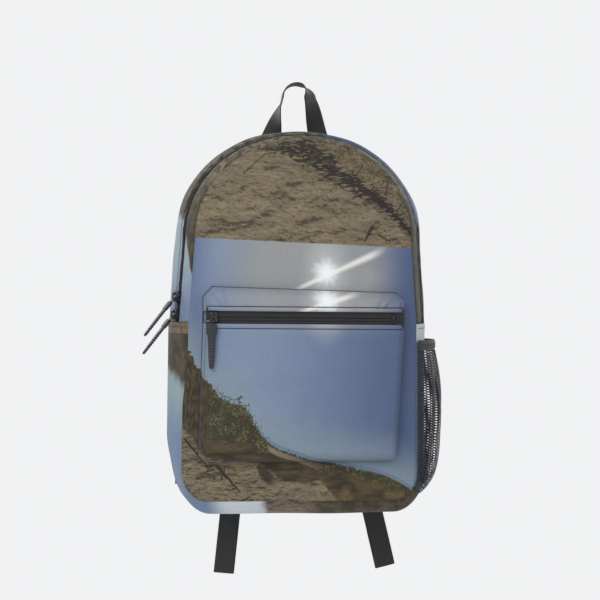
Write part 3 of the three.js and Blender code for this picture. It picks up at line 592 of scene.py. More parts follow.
class Wire:
    """A number inside a material's nodes, with ordinary arithmetic."""

    def __init__(self, tree: bpy.types.NodeTree, socket: Socket) -> None:
        """Holds the socket that gives the number."""
        self.tree, self.socket = tree, socket

    def math(self, kind: str, *others: Number) -> Wire:
        """This number and others through a Math node of the given kind."""
        node = self.tree.nodes.new("ShaderNodeMath")
        node.operation = kind
        for place, item in enumerate((self, *others)):
            if isinstance(item, Wire):
                self.tree.links.new(item.socket, node.inputs[place])
            else:
                node.inputs[place].default_value = float(item)
        return Wire(self.tree, node.outputs[0])

    def __add__(self, other: Number) -> Wire:
        """Sum."""
        return self.math("ADD", other)

    def __sub__(self, other: Number) -> Wire:
        """Difference."""
        return self.math("SUBTRACT", other)

    def __mul__(self, other: Number) -> Wire:
        """Product."""
        return self.math("MULTIPLY", other)

    def __truediv__(self, other: Number) -> Wire:
        """Quotient."""
        return self.math("DIVIDE", other)

    def __abs__(self) -> Wire:
        """Size without the sign."""
        return self.math("ABSOLUTE")

    def sine(self) -> Wire:
        """Sine of an angle in radians."""
        return self.math("SINE")

    def wave(self, pitch: float) -> Wire:
        """Sine wave from 0 to 1, one wave to each `pitch` of this number."""
        return (self * (2 * math.pi / pitch)).sine() * 0.5 + 0.5

    def step(self, low: float, high: float) -> Wire:
        """0 at `low`, 1 at `high`, with a smooth step between; `low` may be the larger.

        Args:
            low: Number that gives 0.
            high: Number that gives 1.

        Returns:
            The share.
        """
        node = self.tree.nodes.new("ShaderNodeMapRange")
        node.interpolation_type = "SMOOTHSTEP"
        self.tree.links.new(self.socket, node.inputs["Value"])
        flip = low > high
        node.inputs["From Min"].default_value, node.inputs["From Max"].default_value = min(low, high), max(low, high)
        node.inputs["To Min"].default_value, node.inputs["To Max"].default_value = (1, 0) if flip else (0, 1)
        return Wire(self.tree, node.outputs["Result"])

    def curve(self, points: Sequence[tuple[float, float]], low: float, high: float) -> Wire:
        """Smooth curve through points of (this number, result); results lie between `low` and `high`.

        Args:
            points: Pairs in order of the first number.
            low: Least result.
            high: Greatest result.

        Returns:
            The result.
        """
        node = self.tree.nodes.new("ShaderNodeFloatCurve")
        first, last = points[0][0], points[-1][0]
        self.tree.links.new(((self - first) / (last - first)).socket, node.inputs["Value"])
        line = node.mapping.curves[0]
        flat = [((a - first) / (last - first), (b - low) / (high - low)) for a, b in points]
        line.points[0].location, line.points[-1].location = flat[0], flat[-1]
        for place in flat[1:-1]:
            line.points.new(*place)
        node.mapping.update()
        return Wire(self.tree, node.outputs[0]) * (high - low) + low


Number = Wire | float
Paint = Colour | Socket


class Kit:
    """Builds one material round its Principled shader, from numbers and colours."""

    def __init__(self, name: str) -> None:
        """Starts a material with only its shader and its output."""
        self.material = bpy.data.materials.new(name)
        self.material.use_nodes = True
        self.tree = self.material.node_tree
        self.shader = self.tree.nodes["Principled BSDF"]
        self.place = self.tree.nodes.new("ShaderNodeTexCoord").outputs["Object"]
        flow = self.tree.nodes.new("ShaderNodeUVMap")
        flow.uv_map = "flow"
        self.flow = flow.outputs[0]

    def feed(self, inlet: Socket, value: Number | Paint) -> None:
        """Links a wire or a socket to an inlet, or sets the inlet's own number or colour."""
        if isinstance(value, (Wire, bpy.types.NodeSocket)):
            self.tree.links.new(value.socket if isinstance(value, Wire) else value, inlet)
        elif isinstance(value, tuple) and inlet.type == "RGBA":
            inlet.default_value = (*value, 1.0)
        else:
            inlet.default_value = value

    def axes(self, socket: Socket) -> tuple[Wire, Wire, Wire]:
        """The three parts of a position, in millimetres."""
        node = self.tree.nodes.new("ShaderNodeSeparateXYZ")
        self.tree.links.new(socket, node.inputs[0])
        return tuple(Wire(self.tree, out) * 1000.0 for out in node.outputs)

    def stretched(self, socket: Socket, turn: Colour, scale: Colour,
                  shift: Colour = (0, 0, 0)) -> Socket:
        """The position scaled, turned by three angles in degrees, then shifted by millimetres."""
        node = self.tree.nodes.new("ShaderNodeMapping")
        node.inputs["Location"].default_value = [a * MM for a in shift]
        node.inputs["Rotation"].default_value = [math.radians(a) for a in turn]
        node.inputs["Scale"].default_value = scale
        self.tree.links.new(socket, node.inputs[0])
        return node.outputs[0]

    def slant(self, tilt: float, x: float, y: float, shift: Colour = (0, 0, 0)) -> Socket:
        """The pattern's place scaled along x and y, then turned by `tilt` degrees about z."""
        return self.stretched(self.place, (0, 0, tilt), (x, y, 1), shift)

    def noise(self, pitch: float, detail: float = 2.0, where: Socket | None = None) -> Wire:
        """Fractal noise from about 0.2 to 0.8, with lumps `pitch` millimetres across."""
        node = self.tree.nodes.new("ShaderNodeTexNoise")
        node.inputs["Scale"].default_value = 1000.0 / pitch
        node.inputs["Detail"].default_value = detail
        self.tree.links.new(self.place if where is None else where, node.inputs["Vector"])
        return Wire(self.tree, node.outputs["Fac"])

    def cells(self, pitch: float, where: Socket) -> Wire:
        """Distance to the nearest border of cells about `pitch` millimetres across, in cell widths."""
        node = self.tree.nodes.new("ShaderNodeTexVoronoi")
        node.feature = "DISTANCE_TO_EDGE"
        node.inputs["Scale"].default_value = 1000.0 / pitch
        self.tree.links.new(where, node.inputs["Vector"])
        return Wire(self.tree, node.outputs["Distance"])

    def mix(self, share: Number, a: Paint, b: Paint) -> Socket:
        """Colour a, turning to colour b as share goes from 0 to 1."""
        node = self.tree.nodes.new("ShaderNodeMix")
        node.data_type, node.clamp_factor = "RGBA", True
        for place, item in ((0, share), (6, a), (7, b)):
            self.feed(node.inputs[place], item)
        return node.outputs[2]

    def shade(self, paint: Paint, amount: Wire) -> Socket:
        """A colour made lighter or darker by a factor."""
        node = self.tree.nodes.new("ShaderNodeVectorMath")
        node.operation = "SCALE"
        self.feed(node.inputs[0], paint)
        self.feed(node.inputs["Scale"], amount)
        return node.outputs[0]

    def colour(self, paint: Paint) -> None:
        """Sets the shader's base colour."""
        self.feed(self.shader.inputs["Base Color"], paint)

    def surface(self, roughness: Number, metallic: float = 0.0, specular: float = 0.5) -> None:
        """Sets the shader's roughness, metal and specular level."""
        self.feed(self.shader.inputs["Roughness"], roughness)
        self.shader.inputs["Metallic"].default_value = metallic
        self.shader.inputs["Specular IOR Level"].default_value = specular

    def sheen(self, weight: float, roughness: float = 0.4) -> None:
        """Sets the fuzz of cloth."""
        self.shader.inputs["Sheen Weight"].default_value = weight
        self.shader.inputs["Sheen Roughness"].default_value = roughness

    def relief(self, height: Wire, strength: float, far: float) -> None:
        """Bumps the surface by a height from 0 to 1, `far` millimetres tall."""
        node = self.tree.nodes.new("ShaderNodeBump")
        node.inputs["Strength"].default_value = strength
        node.inputs["Distance"].default_value = far * MM
        self.tree.links.new(height.socket, node.inputs["Height"])
        self.tree.links.new(node.outputs[0], self.shader.inputs["Normal"])

    @staticmethod
    def weave(pitch: float, first: Wire, second: Wire) -> Wire:
        """Plain weave: two sine waves at right angles, one over the other by turns."""
        beat = 2 * math.pi / pitch
        over = (first * beat).sine() * (second * beat).sine()
        return over * 0.5 + 0.5


@dataclass(frozen=True)
class Finish:
    """A surface of the bag, named after the record's material slot that it stands for."""

    slot: str

    def dress(self, kit: Kit) -> None:
        """Gives the material its colour, relief and gloss."""
        raise NotImplementedError

    def material(self) -> bpy.types.Material:
        """The material, made once and shared by the pieces that wear it."""
        if self not in WARDROBE:
            kit = Kit(f"{self.slot}_{len(WARDROBE)}")
            self.dress(kit)
            WARDROBE[self] = kit.material
        return WARDROBE[self]


WARDROBE: dict[Finish, bpy.types.Material] = {}


class Print(Enum):
    """Parts of the beach print, each cut from its own stretch of the picture."""

    FRONT = "front"
    POCKET = "pocket"
    FRONT_STRIP = "front_strip"
    REAR_STRIP = "rear_strip"
    BASE = "base"


@dataclass(frozen=True)
class BeachCloth(Finish):
    """Printed plain-weave polyester. The print is sand over sky with a low sun, and a dune below."""

    slot: str = "printed_cloth"
    part: Print = Print.FRONT
    sand: Colour = ink(107, 96, 76)
    sand_light: Colour = ink(131, 119, 95)
    sand_dark: Colour = ink(60, 52, 39)
    twig: Colour = ink(38, 32, 30)
    sky: Colour = ink(115, 131, 155)
    sky_left: Colour = ink(96, 111, 140)
    sky_deep: Colour = ink(76, 91, 122)
    sky_pale: Colour = ink(121, 136, 146)
    haze: Colour = ink(141, 142, 143)
    leaf: Colour = ink(50, 48, 31)
    leaf_light: Colour = ink(88, 84, 57)
    earth: Colour = ink(79, 66, 45)
    earth_dark: Colour = ink(47, 41, 29)
    sun: Colour = ink(228, 232, 233)
    halo: Colour = ink(190, 192, 192)
    ray: Colour = ink(222, 221, 212)
    sea: Colour = ink(88, 106, 130)
    clay: Colour = ink(108, 88, 55)
    thicket: Colour = ink(76, 68, 47)
    shadow: Colour = ink(38, 35, 30)
    air: Colour = ink(142, 158, 165)
    air_low: Colour = ink(112, 126, 153)
    base_air: Colour = ink(110, 128, 154)
    base_air_front: Colour = ink(98, 114, 146)
    base_haze: Colour = ink(134, 152, 155)
    base_glow: Colour = ink(206, 212, 214)
    base_end: Colour = ink(186, 194, 197)
    hem_sand: Colour = ink(120, 100, 62)
    coat: Colour = ink(44, 46, 51)
    coat_light: Colour = ink(60, 62, 68)
    haze_end: float = 124.0

    def sands(self, kit: Kit) -> Socket:
        """Trampled sand lit from one side: the slope of two noises gives bright rims and dark hollows."""
        paint = self.sand
        for pitch, gain, tilt, far in ((24.0, 5.0, -20, 2.4), (8.0, 3.2, 14, 0.9), (3.2, 1.8, -30, 0.5)):
            one = kit.noise(pitch, 5.0, kit.slant(tilt, 0.72, 1.12))
            two = kit.noise(pitch, 5.0, kit.slant(tilt, 0.72, 1.12, (0.3, far, 0)))
            slope = (one - two) * gain
            paint = kit.mix(slope.step(0.04, 0.30) * 0.62, paint, self.sand_light)
            paint = kit.mix(slope.step(-0.08, -0.34) * 0.95, paint, self.sand_dark)
        litter = kit.noise(2.4, 3.0).step(0.58, 0.66) * kit.noise(34.0, 2.0).step(0.52, 0.62)
        paint = kit.mix(litter * 0.8, paint, self.sand_dark)
        grain = kit.noise(1.1, 2.0)
        patch = kit.noise(48.0, 2.0)
        return kit.shade(paint, grain * 0.5 + patch * 0.4 + 0.56)

    def stick(self, x: Wire, z: Wire, start: tuple[float, float], end: tuple[float, float], wide: float) -> Wire:
        """Share 1 on a straight stick between two places, which thins towards its end, and 0 beside it.

        Args:
            x: Across.
            z: Up.
            start: Place of its thick end.
            end: Place of its thin end.
            wide: Width at its start.

        Returns:
            The share.
        """
        long = math.hypot(end[0] - start[0], end[1] - start[1])
        cos, sin = (end[0] - start[0]) / long, (end[1] - start[1]) / long
        dx, dz = x - start[0], z - start[1]
        along = dx * cos + dz * sin
        off = abs(dx * sin - dz * cos)
        thin = along * (-0.5 * wide / long) + wide
        return (off / thin).step(1.1, 0.6) * along.step(-1.0, 0.0) * along.step(long + 1.0, long)

    def driftwood(self, kit: Kit, x: Wire, z: Wire, sand: Socket) -> Socket:
        """A tangle of dead branches that runs down to the right, with rough ground beyond it.

        Args:
            kit: The material.
            x: Across.
            z: Up.
            sand: Colour under it.

        Returns:
            The painted sand.
        """
        line = [(-150, -92), (-60, -90), (-42, -91), (-12, -91), (6, -95), (22, -105), (39, -118), (61, -131),
                (84, -147), (103, -163), (124, -186), (150, -212)]
        half = [(-150, 0), (-62, 0.2), (-40, 1.2), (-14, 6), (6, 11), (25, 10), (39, 7), (61, 6.5), (84, 6),
                (103, 4.5), (124, 3.5), (150, 3)]
        height = x.curve(line, -215, -85)
        wide = x.curve(half, 0, 12)
        jitter = (kit.noise(6.0, 4.0) - 0.5) * 7.0
        off = z - height + (kit.noise(13.0, 3.0) - 0.5) * 9.0
        run = kit.slant(34, 0.30, 1.9)
        rough = kit.noise(3.6, 5.0, run)
        body = ((abs(off) / (wide + 0.4)) + (rough - 0.5) * 5.0).step(1.05, 0.75)
        strands = kit.cells(7.0, run).step(0.10, 0.03)
        cross = kit.cells(10.0, kit.slant(-28, 0.5, 1.6)).step(0.05, 0.015)
        near = (abs(off) / (wide * 2.3 + 1.5)).step(1.0, 0.6) * (wide.step(0.3, 3.0))
        beyond = (z - height + jitter).step(5.0, 26.0) * x.step(-5.0, 60.0)
        paint = kit.mix(beyond * kit.noise(9.0, 4.0).step(0.40, 0.60) * 0.7, sand, self.earth)
        paint = kit.mix(beyond * kit.noise(3.0, 3.0).step(0.54, 0.64) * 0.7, paint, self.earth_dark)
        speck = kit.noise(1.7, 2.0).step(0.55, 0.62) * (z - height).step(-34.0, -4.0) * x.step(-10.0, 40.0)
        paint = kit.mix(speck * 0.6, paint, self.twig)
        paint = kit.mix(near * (strands + cross) * 0.9, paint, self.twig)
        gap = kit.noise(2.4, 4.0, run).step(0.49, 0.60) * x.step(95.0, 15.0)
        paint = kit.mix(body * (gap * -0.75 + 1.0), paint, self.twig)
        bend = (kit.noise(5.0, 2.0) - 0.5) * 2.4
        twigs = (((-70, -119), (-46, -97), 0.9), ((-47, -97), (-36, -95), 0.8), ((-43, -91), (-41, -84), 1.1),
                 ((-27, -90), (-22, -79), 1.6), ((-31, -85), (-20, -83), 1.1), ((92, -141), (95, -126), 1.1),
                 ((104, -163), (112, -148), 1.0), ((30, -112), (42, -94), 1.0), ((52, -128), (66, -108), 1.0),
                 ((77.5, -176), (68, -194), 2.6), ((84, -186), (97, -193), 1.6))
        for start, end, thick in twigs:
            paint = kit.mix(self.stick(x + bend, z + bend, start, end, thick) * 0.85, paint, self.twig)
        return paint

    def heavens(self, kit: Kit, x: Wire, z: Wire, sun_x: float, sun_z: float, slope: float,
                ends: tuple[float, float]) -> Socket:
        """Sky that is hazy round a low sun, with one soft slanting ray, and deepens to the right.

        Args:
            kit: The material.
            x: Across.
            z: Up.
            sun_x: The sun's place across.
            sun_z: The sun's height.
            slope: Rise of the ray to the right.
            ends: Where the ray starts and ends, from the sun.

        Returns:
            The sky's colour.
        """
        paint = kit.mix(x.step(-70.0, 120.0), self.sky, self.sky_deep)
        paint = kit.mix(x.step(-95.0, -128.0), paint, self.sky_left)
        dx, dz = x - sun_x, z - sun_z
        far = (dx * dx + dz * dz).math("SQRT")
        cloud = kit.noise(46.0, 3.0, kit.slant(-24, 0.5, 1.3))
        veil = x.step(-124.0, -30.0) * x.step(self.haze_end, 62.0) * z.step(-306.0, -268.0)
        paint = kit.mix(veil * (cloud * 0.9 + 0.52), paint, self.haze)
        tall = (dx * dx * 1.7 + dz * dz * 0.6).math("SQRT")
        paint = kit.mix((tall / 46.0).step(1.0, 0.0) * 0.62, paint, self.halo)
        below = dz + 4.0 - dx * slope
        across = below * (1.0 / math.hypot(1.0, slope))
        wide = x.step(sun_x - 10, sun_x + 70) * 2.6 + 4.2
        ray = (abs(across) / wide).step(1.0, 0.0) * dx.step(ends[0], ends[0] + 22)
        ray = ray * dx.step(ends[1], ends[1] - 26)
        paint = kit.mix(ray * 0.9, paint, self.ray)
        ragged = (kit.noise(7.0, 3.0) - 0.5) * 7.0
        angle = dz.math("ARCTAN2", dx)
        spikes = (angle * 8.0).sine() * (angle * 3.0 + 1.3).sine() * 0.12 + 1.0
        core = ((far + ragged) / (spikes * 19.5)).step(1.0, 0.08)
        return kit.mix(core, paint, self.sun)

    def land(self, kit: Kit, x: Wire, z: Wire, sky: Socket) -> Socket:
        """A dune that falls to the right: bushes, brown earth, then sand with sticks and a shadow.

        Args:
            kit: The material.
            x: Across.
            z: Up.
            sky: Colour above it.

        Returns:
            The colour of sky and land.
        """
        skyline = [
            (-150, -312), (-133, -318), (-120, -336), (-109, -352), (-98, -366), (-84, -376), (-70, -379), (-60, -392),
            (-50, -409), (-40, -420), (-30, -426), (-8, -434), (10, -441), (40, -446), (58, -451), (95, -460),
            (130, -480),
        ]
        beach = [
            (-150, -398), (-130, -408), (-108, -438), (-80, -442), (-50, -447), (-33, -458), (0, -469), (20, -466),
            (32, -478), (50, -497), (80, -508), (130, -512),
        ]
        over = z - x.curve(skyline, -520, -300)
        down = z - x.curve(beach, -520, -380)
        leafy = kit.noise(2.8, 6.0)
        clump = kit.noise(13.0, 3.0)
        bushy = x.step(-38.0, -60.0) + x.step(-42.0, -30.0) * x.step(4.0, -8.0) * 0.6
        bushy = bushy + x.step(34.0, 46.0) * x.step(84.0, 66.0) * 0.5
        edge = over - ((leafy - 0.5) * 12.0 + (clump - 0.5) * 20.0) * bushy - (leafy - 0.5) * 4.0
        ground = edge.step(0.9, -0.9)
        paint = kit.mix(over.step(64.0, 0.0) * 0.85, sky, self.sky_pale)
        sea = over.step(5.2, 4.2) * x.step(-56.0, -36.0)
        paint = kit.mix(sea * 0.6, paint, self.sea)
        spray = kit.cells(5.0, kit.slant(24, 1.5, 0.7)).step(0.11, 0.04)
        spray = spray * (kit.noise(6.0, 3.0) + over * -0.022).step(0.34, 0.40)
        spray = spray * x.step(-102.0, -94.0) * x.step(-36.0, -44.0)
        paint = kit.mix(spray * 0.85, paint, self.leaf)
        bush = kit.mix(leafy.step(0.44, 0.60), self.leaf, self.leaf_light)
        bush = kit.mix(clump.step(0.56, 0.42) * 0.8, bush, self.earth_dark)
        bright = kit.noise(1.9, 3.0).step(0.60, 0.68) * kit.noise(15.0, 2.0).step(0.48, 0.58)
        bush = kit.mix(bright * 0.7, bush, self.sand_light)
        slant = kit.slant(32, 0.4, 1.5)
        soil = kit.mix(kit.noise(12.0, 5.0, slant).step(0.38, 0.62), self.earth_dark, self.earth)
        soil = kit.mix(kit.noise(26.0, 2.0).step(0.50, 0.66) * x.step(20.0, 60.0) * 0.7, soil, self.clay)
        soil = kit.mix(kit.noise(4.0, 5.0, slant).step(0.52, 0.66) * 0.65, soil, self.leaf)
        low = (over + x.step(-20.0, -90.0) * 36.0 + (kit.noise(12.0, 4.0) - 0.5) * 22.0).step(-4.0, -18.0)
        ground_paint = kit.mix(low, bush, soil)
        upright = kit.noise(3.4, 5.0, kit.slant(0, 1.4, 0.35))
        wall = kit.mix(upright.step(0.40, 0.62), self.earth_dark, self.thicket)
        ground_paint = kit.mix(x.step(-102.0, -116.0), ground_paint, wall)
        crest = over.step(-2.0, -4.0) * over.step(-10.0, -8.0) * x.step(-44.0, -38.0) * x.step(30.0, 0.0)
        ground_paint = kit.mix(crest * 0.75, ground_paint, self.sand_light)
        paint = kit.mix(ground, paint, ground_paint)
        shore = self.sands(kit)
        streak = kit.noise(3.2, 5.0, kit.slant(38, 0.35, 1.7))
        shore = kit.mix(streak.step(0.55, 0.63) * x.step(30.0, -40.0) * 0.85, shore, self.earth_dark)
        bend = (kit.noise(5.0, 2.0) - 0.5) * 2.4
        for start, end, thick in (((-133, -418), (-107, -449), 1.7), ((-98, -447), (-70, -478), 2.2),
                                  ((-92, -464), (-88, -452), 1.3), ((-74, -492), (-60, -484), 2.0),
                                  ((-100, -452), (-118, -458), 1.2), ((44, -505), (66, -499), 2.4)):
            shore = kit.mix(self.stick(x + bend, z + bend, start, end, thick) * 0.9, shore, self.twig)
        tilted = (x + 42.0) * 0.62 - (z + 458.0) * 0.78
        lengthwise = (x + 42.0) * 0.78 + (z + 458.0) * 0.62
        spread = tilted * tilted * 0.0036 + lengthwise * lengthwise * 0.018
        shadow = (spread + (kit.noise(8.0, 4.0) - 0.5) * 1.7).step(1.1, 0.3)
        sandy = (down - (kit.noise(9.0, 4.0) - 0.5) * 16.0).step(2.5, -2.5)
        return kit.mix(shadow * 0.85, kit.mix(sandy, paint, shore), self.shadow)

    def front(self, kit: Kit) -> Socket:
        """The front: sand above, then the sky, then the dune; the pocket repeats the sun."""
        x, z, _ = kit.axes(kit.place)
        high = self.driftwood(kit, x, z, self.sands(kit))
        if self.part is Print.POCKET:
            sky = self.heavens(kit, x, z, 23.0, -261.0, 0.33, (-40, 44))
        else:
            sky = self.heavens(kit, x, z, 24.5, -229.5, 0.46, (-42, 72))
        low = self.land(kit, x, z, sky)
        edge = z + 196.5 + x * 0.034 + (kit.noise(7.0, 3.0) - 0.5) * 2.0
        return kit.mix(edge.step(-0.4, 0.4), low, high)

    def side(self, kit: Kit) -> Socket:
        """The gusset: earth and sand over the arch, pale sky down the sides, foliage under the zip's ends."""
        along, depth, _ = kit.axes(kit.flow)
        wander = (kit.noise(14.0, 5.0) - 0.5) * 16.0
        u = along + wander
        sand = self.sands(kit)
        soil = kit.mix(kit.noise(13.0, 4.0).step(0.42, 0.6), self.earth_dark, self.earth)
        soil = kit.mix(kit.noise(5.0, 5.0).step(0.48, 0.62) * 0.8, soil, self.leaf)
        soil = kit.mix(kit.noise(2.6, 4.0).step(0.60, 0.70) * 0.6, soil, self.sand)
        mouth = kit.noise(9.0, 3.0).step(0.44, 0.56)
        crest = kit.mix(mouth * u.step(-190.0, -120.0), soil, sand)
        if self.part is Print.BASE:
            return self.under(kit, along, depth, u, soil, sand)
        air = kit.mix(along.step(-230.0, -306.0), self.air, self.air_low)
        if self.part is Print.FRONT_STRIP:
            left = (u - depth * 2.3).step(-268.0, -258.0) * u.step(215.0, 200.0)
            right = along.step(150.0, 175.0)
            return kit.mix(right, kit.mix(left, air, crest), kit.mix(mouth * 0.8, self.earth_dark, soil))
        left = u.step(-196.0, -184.0) * along.step(42.0, 26.0)
        dark = u.step(-186.0, -172.0) * u.step(-118.0, -136.0)
        crest = kit.mix(dark * kit.noise(16.0, 3.0).step(0.38, 0.56) * 0.8, crest, self.earth_dark)
        blue = kit.mix(along.step(60.0, 150.0), self.sky_deep, self.sky)
        right = kit.mix(u.step(188.0, 204.0), blue, soil)
        return kit.mix(along.step(20.0, 34.0), kit.mix(left, air, crest), right)

    def under(self, kit: Kit, along: Wire, depth: Wire, u: Wire, soil: Socket,
              sand: Socket) -> Socket:
        """The base strip, from the left hem round below to the right hem.

        Args:
            kit: The material.
            along: Distance along the outline.
            depth: Distance from the front seam.
            u: `along` with a wandering edge.
            soil: Colour of the earth.
            sand: Colour of the sand.

        Returns:
            The strip's colour.
        """
        middle = along + SKIN.half_round
        air = kit.mix(depth.step(70.0, 100.0), self.base_air, self.base_air_front)
        air = kit.mix((u - depth * 0.3).step(-452.0, -392.0), air, self.base_haze)
        glow = abs(middle - 62.0).step(40.0, 14.0)
        air = kit.mix(glow * 0.85, air, self.base_glow)
        foliage = (u - depth * 0.3).step(-392.0, -378.0)
        paint = kit.mix(foliage, air, soil)
        ground = kit.mix((u + SKIN.half_round).step(4.0, -28.0), sand, soil)
        paint = kit.mix((u + SKIN.half_round).step(42.0, 34.0) * middle.step(-152.0, -144.0), paint, ground)
        end = along + (2 * SKIN.half_round - SKIN.reach(SKIN.zip_end))
        paint = kit.mix(end.step(22.0, 18.0), paint, self.base_end)
        return kit.mix(along.step(-327.0, -325.5), paint, kit.mix(0.35, sand, self.hem_sand))

    def dress(self, kit: Kit) -> None:
        """Printed cloth: the picture, a fine weave with slubs, and a faint fuzz."""
        kit.place = kit.flow
        x, z, _ = kit.axes(kit.flow)
        paint = self.front(kit) if self.part in (Print.FRONT, Print.POCKET) else self.side(kit)
        slub = kit.noise(2.2, 2.0, kit.slant(0, 1.6, 0.12))
        cross = kit.noise(2.2, 2.0, kit.slant(0, 0.12, 1.6))
        coated = kit.mix(kit.noise(14.0, 3.0), self.coat, self.coat_light)
        paint = kit.mix(x.step(0.5 * INNER - 1, 0.5 * INNER + 1), paint, coated)
        kit.colour(kit.shade(paint, (slub + cross) * 0.16 + 0.84))
        kit.surface(kit.noise(30.0, 2.0) * 0.14 + 0.66, specular=0.35)
        kit.sheen(0.08)
        kit.relief(kit.weave(0.75, x, z) * 0.6 + (slub + cross) * 0.4, 0.35, 0.12)


@dataclass(frozen=True)
class Webbing(Finish):
    """Woven nylon tape: fine ribs across it, longer floats in a herringbone, and a dull shine."""

    slot: str = "webbing"
    colour: Colour = ink(40, 40, 41)
    rib: float = 1.15
    chevron: float = 6.2

    def dress(self, kit: Kit) -> None:
        """Ribs follow the tape's own length and width."""
        along, across, _ = kit.axes(kit.flow)
        bend = (across * (2 * math.pi / self.chevron)).sine().math("ARCSINE") * 0.5
        ribs = (along + bend).wave(self.rib)
        wales = across.wave(self.chevron / 4)
        wear = kit.noise(14.0, 3.0)
        kit.colour(kit.mix(ribs * 0.55 + wales * 0.25 + wear * 0.2, dimmed(self.colour, 0.45), self.colour))
        kit.surface(wear * 0.2 + 0.5, specular=0.4)
        kit.sheen(0.15)
        kit.relief(ribs * 0.7 + wales * 0.3, 0.6, 0.3)


@dataclass(frozen=True)
class ZipTape(Finish):
    """Zip tape: a tight twill in charcoal with a lighter thread along each edge."""

    slot: str = "zip_tape"
    colour: Colour = ink(48, 47, 49)

    def dress(self, kit: Kit) -> None:
        """Twill lines slant across the object's own axes."""
        x, y, z = kit.axes(kit.place)
        twill = (x + z * 0.9 + y * 0.6).wave(0.9)
        fuzz = kit.noise(5.0, 3.0)
        kit.colour(kit.mix(twill * 0.6 + fuzz * 0.4, dimmed(self.colour, 0.5), self.colour))
        kit.surface(0.7, specular=0.3)
        kit.sheen(0.1)
        kit.relief(twill, 0.5, 0.15)


@dataclass(frozen=True)
class Moulded(Finish):
    """Moulded plastic or rubber with a fine spark-eroded grain and scuffed high spots."""

    slot: str = "buckle"
    colour: Colour = ink(36, 36, 37)
    roughness: float = 0.42
    grain: float = 0.7

    def dress(self, kit: Kit) -> None:
        """Grain, mottled gloss and faint scuffs."""
        grain = kit.noise(self.grain, 3.0)
        scuff = kit.noise(6.0, 5.0, kit.stretched(kit.place, (20, 30, 0), (0.4, 1, 1.8)))
        light = tuple(min(1.0, c * 1.9 + 0.01) for c in self.colour)
        kit.colour(kit.mix(scuff.step(0.56, 0.72) * 0.5, self.colour, light))
        kit.surface(grain * 0.18 + self.roughness - 0.06, specular=0.5)
        kit.relief(grain, 0.35, 0.06)


@dataclass(frozen=True)
class DarkMetal(Finish):
    """Zinc casting under dark enamel, worn brighter where it is handled."""

    slot: str = "zip_metal"
    colour: Colour = ink(66, 65, 68)

    def dress(self, kit: Kit) -> None:
        """Enamel with bright wear and fine casting texture."""
        wear = kit.noise(3.0, 5.0)
        kit.colour(kit.mix(wear.step(0.55, 0.72), self.colour, ink(138, 136, 134)))
        kit.surface(wear * 0.3 + 0.2, metallic=0.85, specular=0.5)
        kit.relief(kit.noise(0.8, 3.0), 0.25, 0.05)


@dataclass(frozen=True)
class Netting(Finish):
    """Knitted net: diamond holes in staggered rows between dark threads, open to what lies behind."""

    slot: str = "net"
    colour: Colour = ink(21, 22, 26)
    pitch: float = 6.2

    def dress(self, kit: Kit) -> None:
        """Each hole is a patch where two crossed waves along the net peak, or dip, together."""
        along, across, _ = kit.axes(kit.flow)
        beat = 2 * math.pi / self.pitch
        one = ((along * 0.58 + across) * beat).math("COSINE")
        two = ((along * 0.58 - across) * beat).math("COSINE")
        both = abs(one * two)
        thread = both.step(0.54, 0.38)
        kit.colour(kit.mix(both, self.colour, dimmed(self.colour, 1.7)))
        kit.surface(0.6, specular=0.4)
        kit.sheen(0.2)
        kit.relief(both * -1.0 + 1.0, 0.6, 0.4)
        kit.tree.links.new(thread.socket, kit.shader.inputs["Alpha"])
        kit.material.surface_render_method = "DITHERED"


@dataclass(frozen=True)
class AirMesh(Finish):
    """Spacer mesh over foam: small hexagonal pits in a soft knitted face."""

    slot: str = "air_mesh"
    colour: Colour = ink(50, 51, 56)
    pitch: float = 3.4

    def dress(self, kit: Kit) -> None:
        """Pits are the middles of even cells, darker and deeper than the threads round them."""
        x, y, z = kit.axes(kit.place)
        beat = 2 * math.pi / self.pitch
        one = ((x * 0.866 + z * 0.5) * beat).math("COSINE")
        two = ((x * 0.866 - z * 0.5) * beat).math("COSINE")
        three = (z * beat).math("COSINE")
        pit = ((one + two + three) * 0.333).step(0.15, 0.75)
        fuzz = kit.noise(1.2, 2.0)
        kit.colour(kit.shade(kit.mix(pit, self.colour, dimmed(self.colour, 0.25)), fuzz * 0.5 + 0.75))
        kit.surface(0.85, specular=0.25)
        kit.sheen(0.25)
        kit.relief(pit * -0.8 + fuzz * 0.2 + 0.8, 0.7, 0.7)


@dataclass(frozen=True)
class PlainCloth(Finish):
    """Plain woven lining or binding cloth with slubs and a soft crease shade."""

    slot: str = "lining"
    colour: Colour = ink(52, 54, 60)
    pitch: float = 0.8

    def dress(self, kit: Kit) -> None:
        """Weave and slubs on the object's own axes."""
        x, y, z = kit.axes(kit.place)
        slub = kit.noise(2.5, 3.0, kit.stretched(kit.place, (0, 0, 0), (1.5, 1.5, 0.2)))
        cloudy = kit.noise(40.0, 3.0)
        kit.colour(kit.mix(slub * 0.6 + cloudy * 0.5, dimmed(self.colour, 0.6), dimmed(self.colour, 1.25)))
        kit.surface(0.78, specular=0.3)
        kit.sheen(0.12)
        kit.relief(kit.weave(self.pitch, x + y, z + y * 0.5) * 0.6 + slub * 0.4, 0.45, 0.15)


TEETH = Moulded("zip_teeth", ink(44, 43, 45), 0.35)
EDGING = Webbing("webbing", ink(38, 38, 40), 1.0)
BINDING = Webbing("webbing", ink(34, 34, 37), 1.0)
LINING = PlainCloth("lining", ink(58, 62, 72))
BOX_STITCH = (2.8, 2.1)  # pitch and length of the stitches that hold webbing down


def wear(piece: Piece, finish: Finish) -> Piece:
    """Gives a piece one finish, and names the record's slot for it."""
    piece.data.materials.clear()
    piece.data.materials.append(finish.material())
    return piece


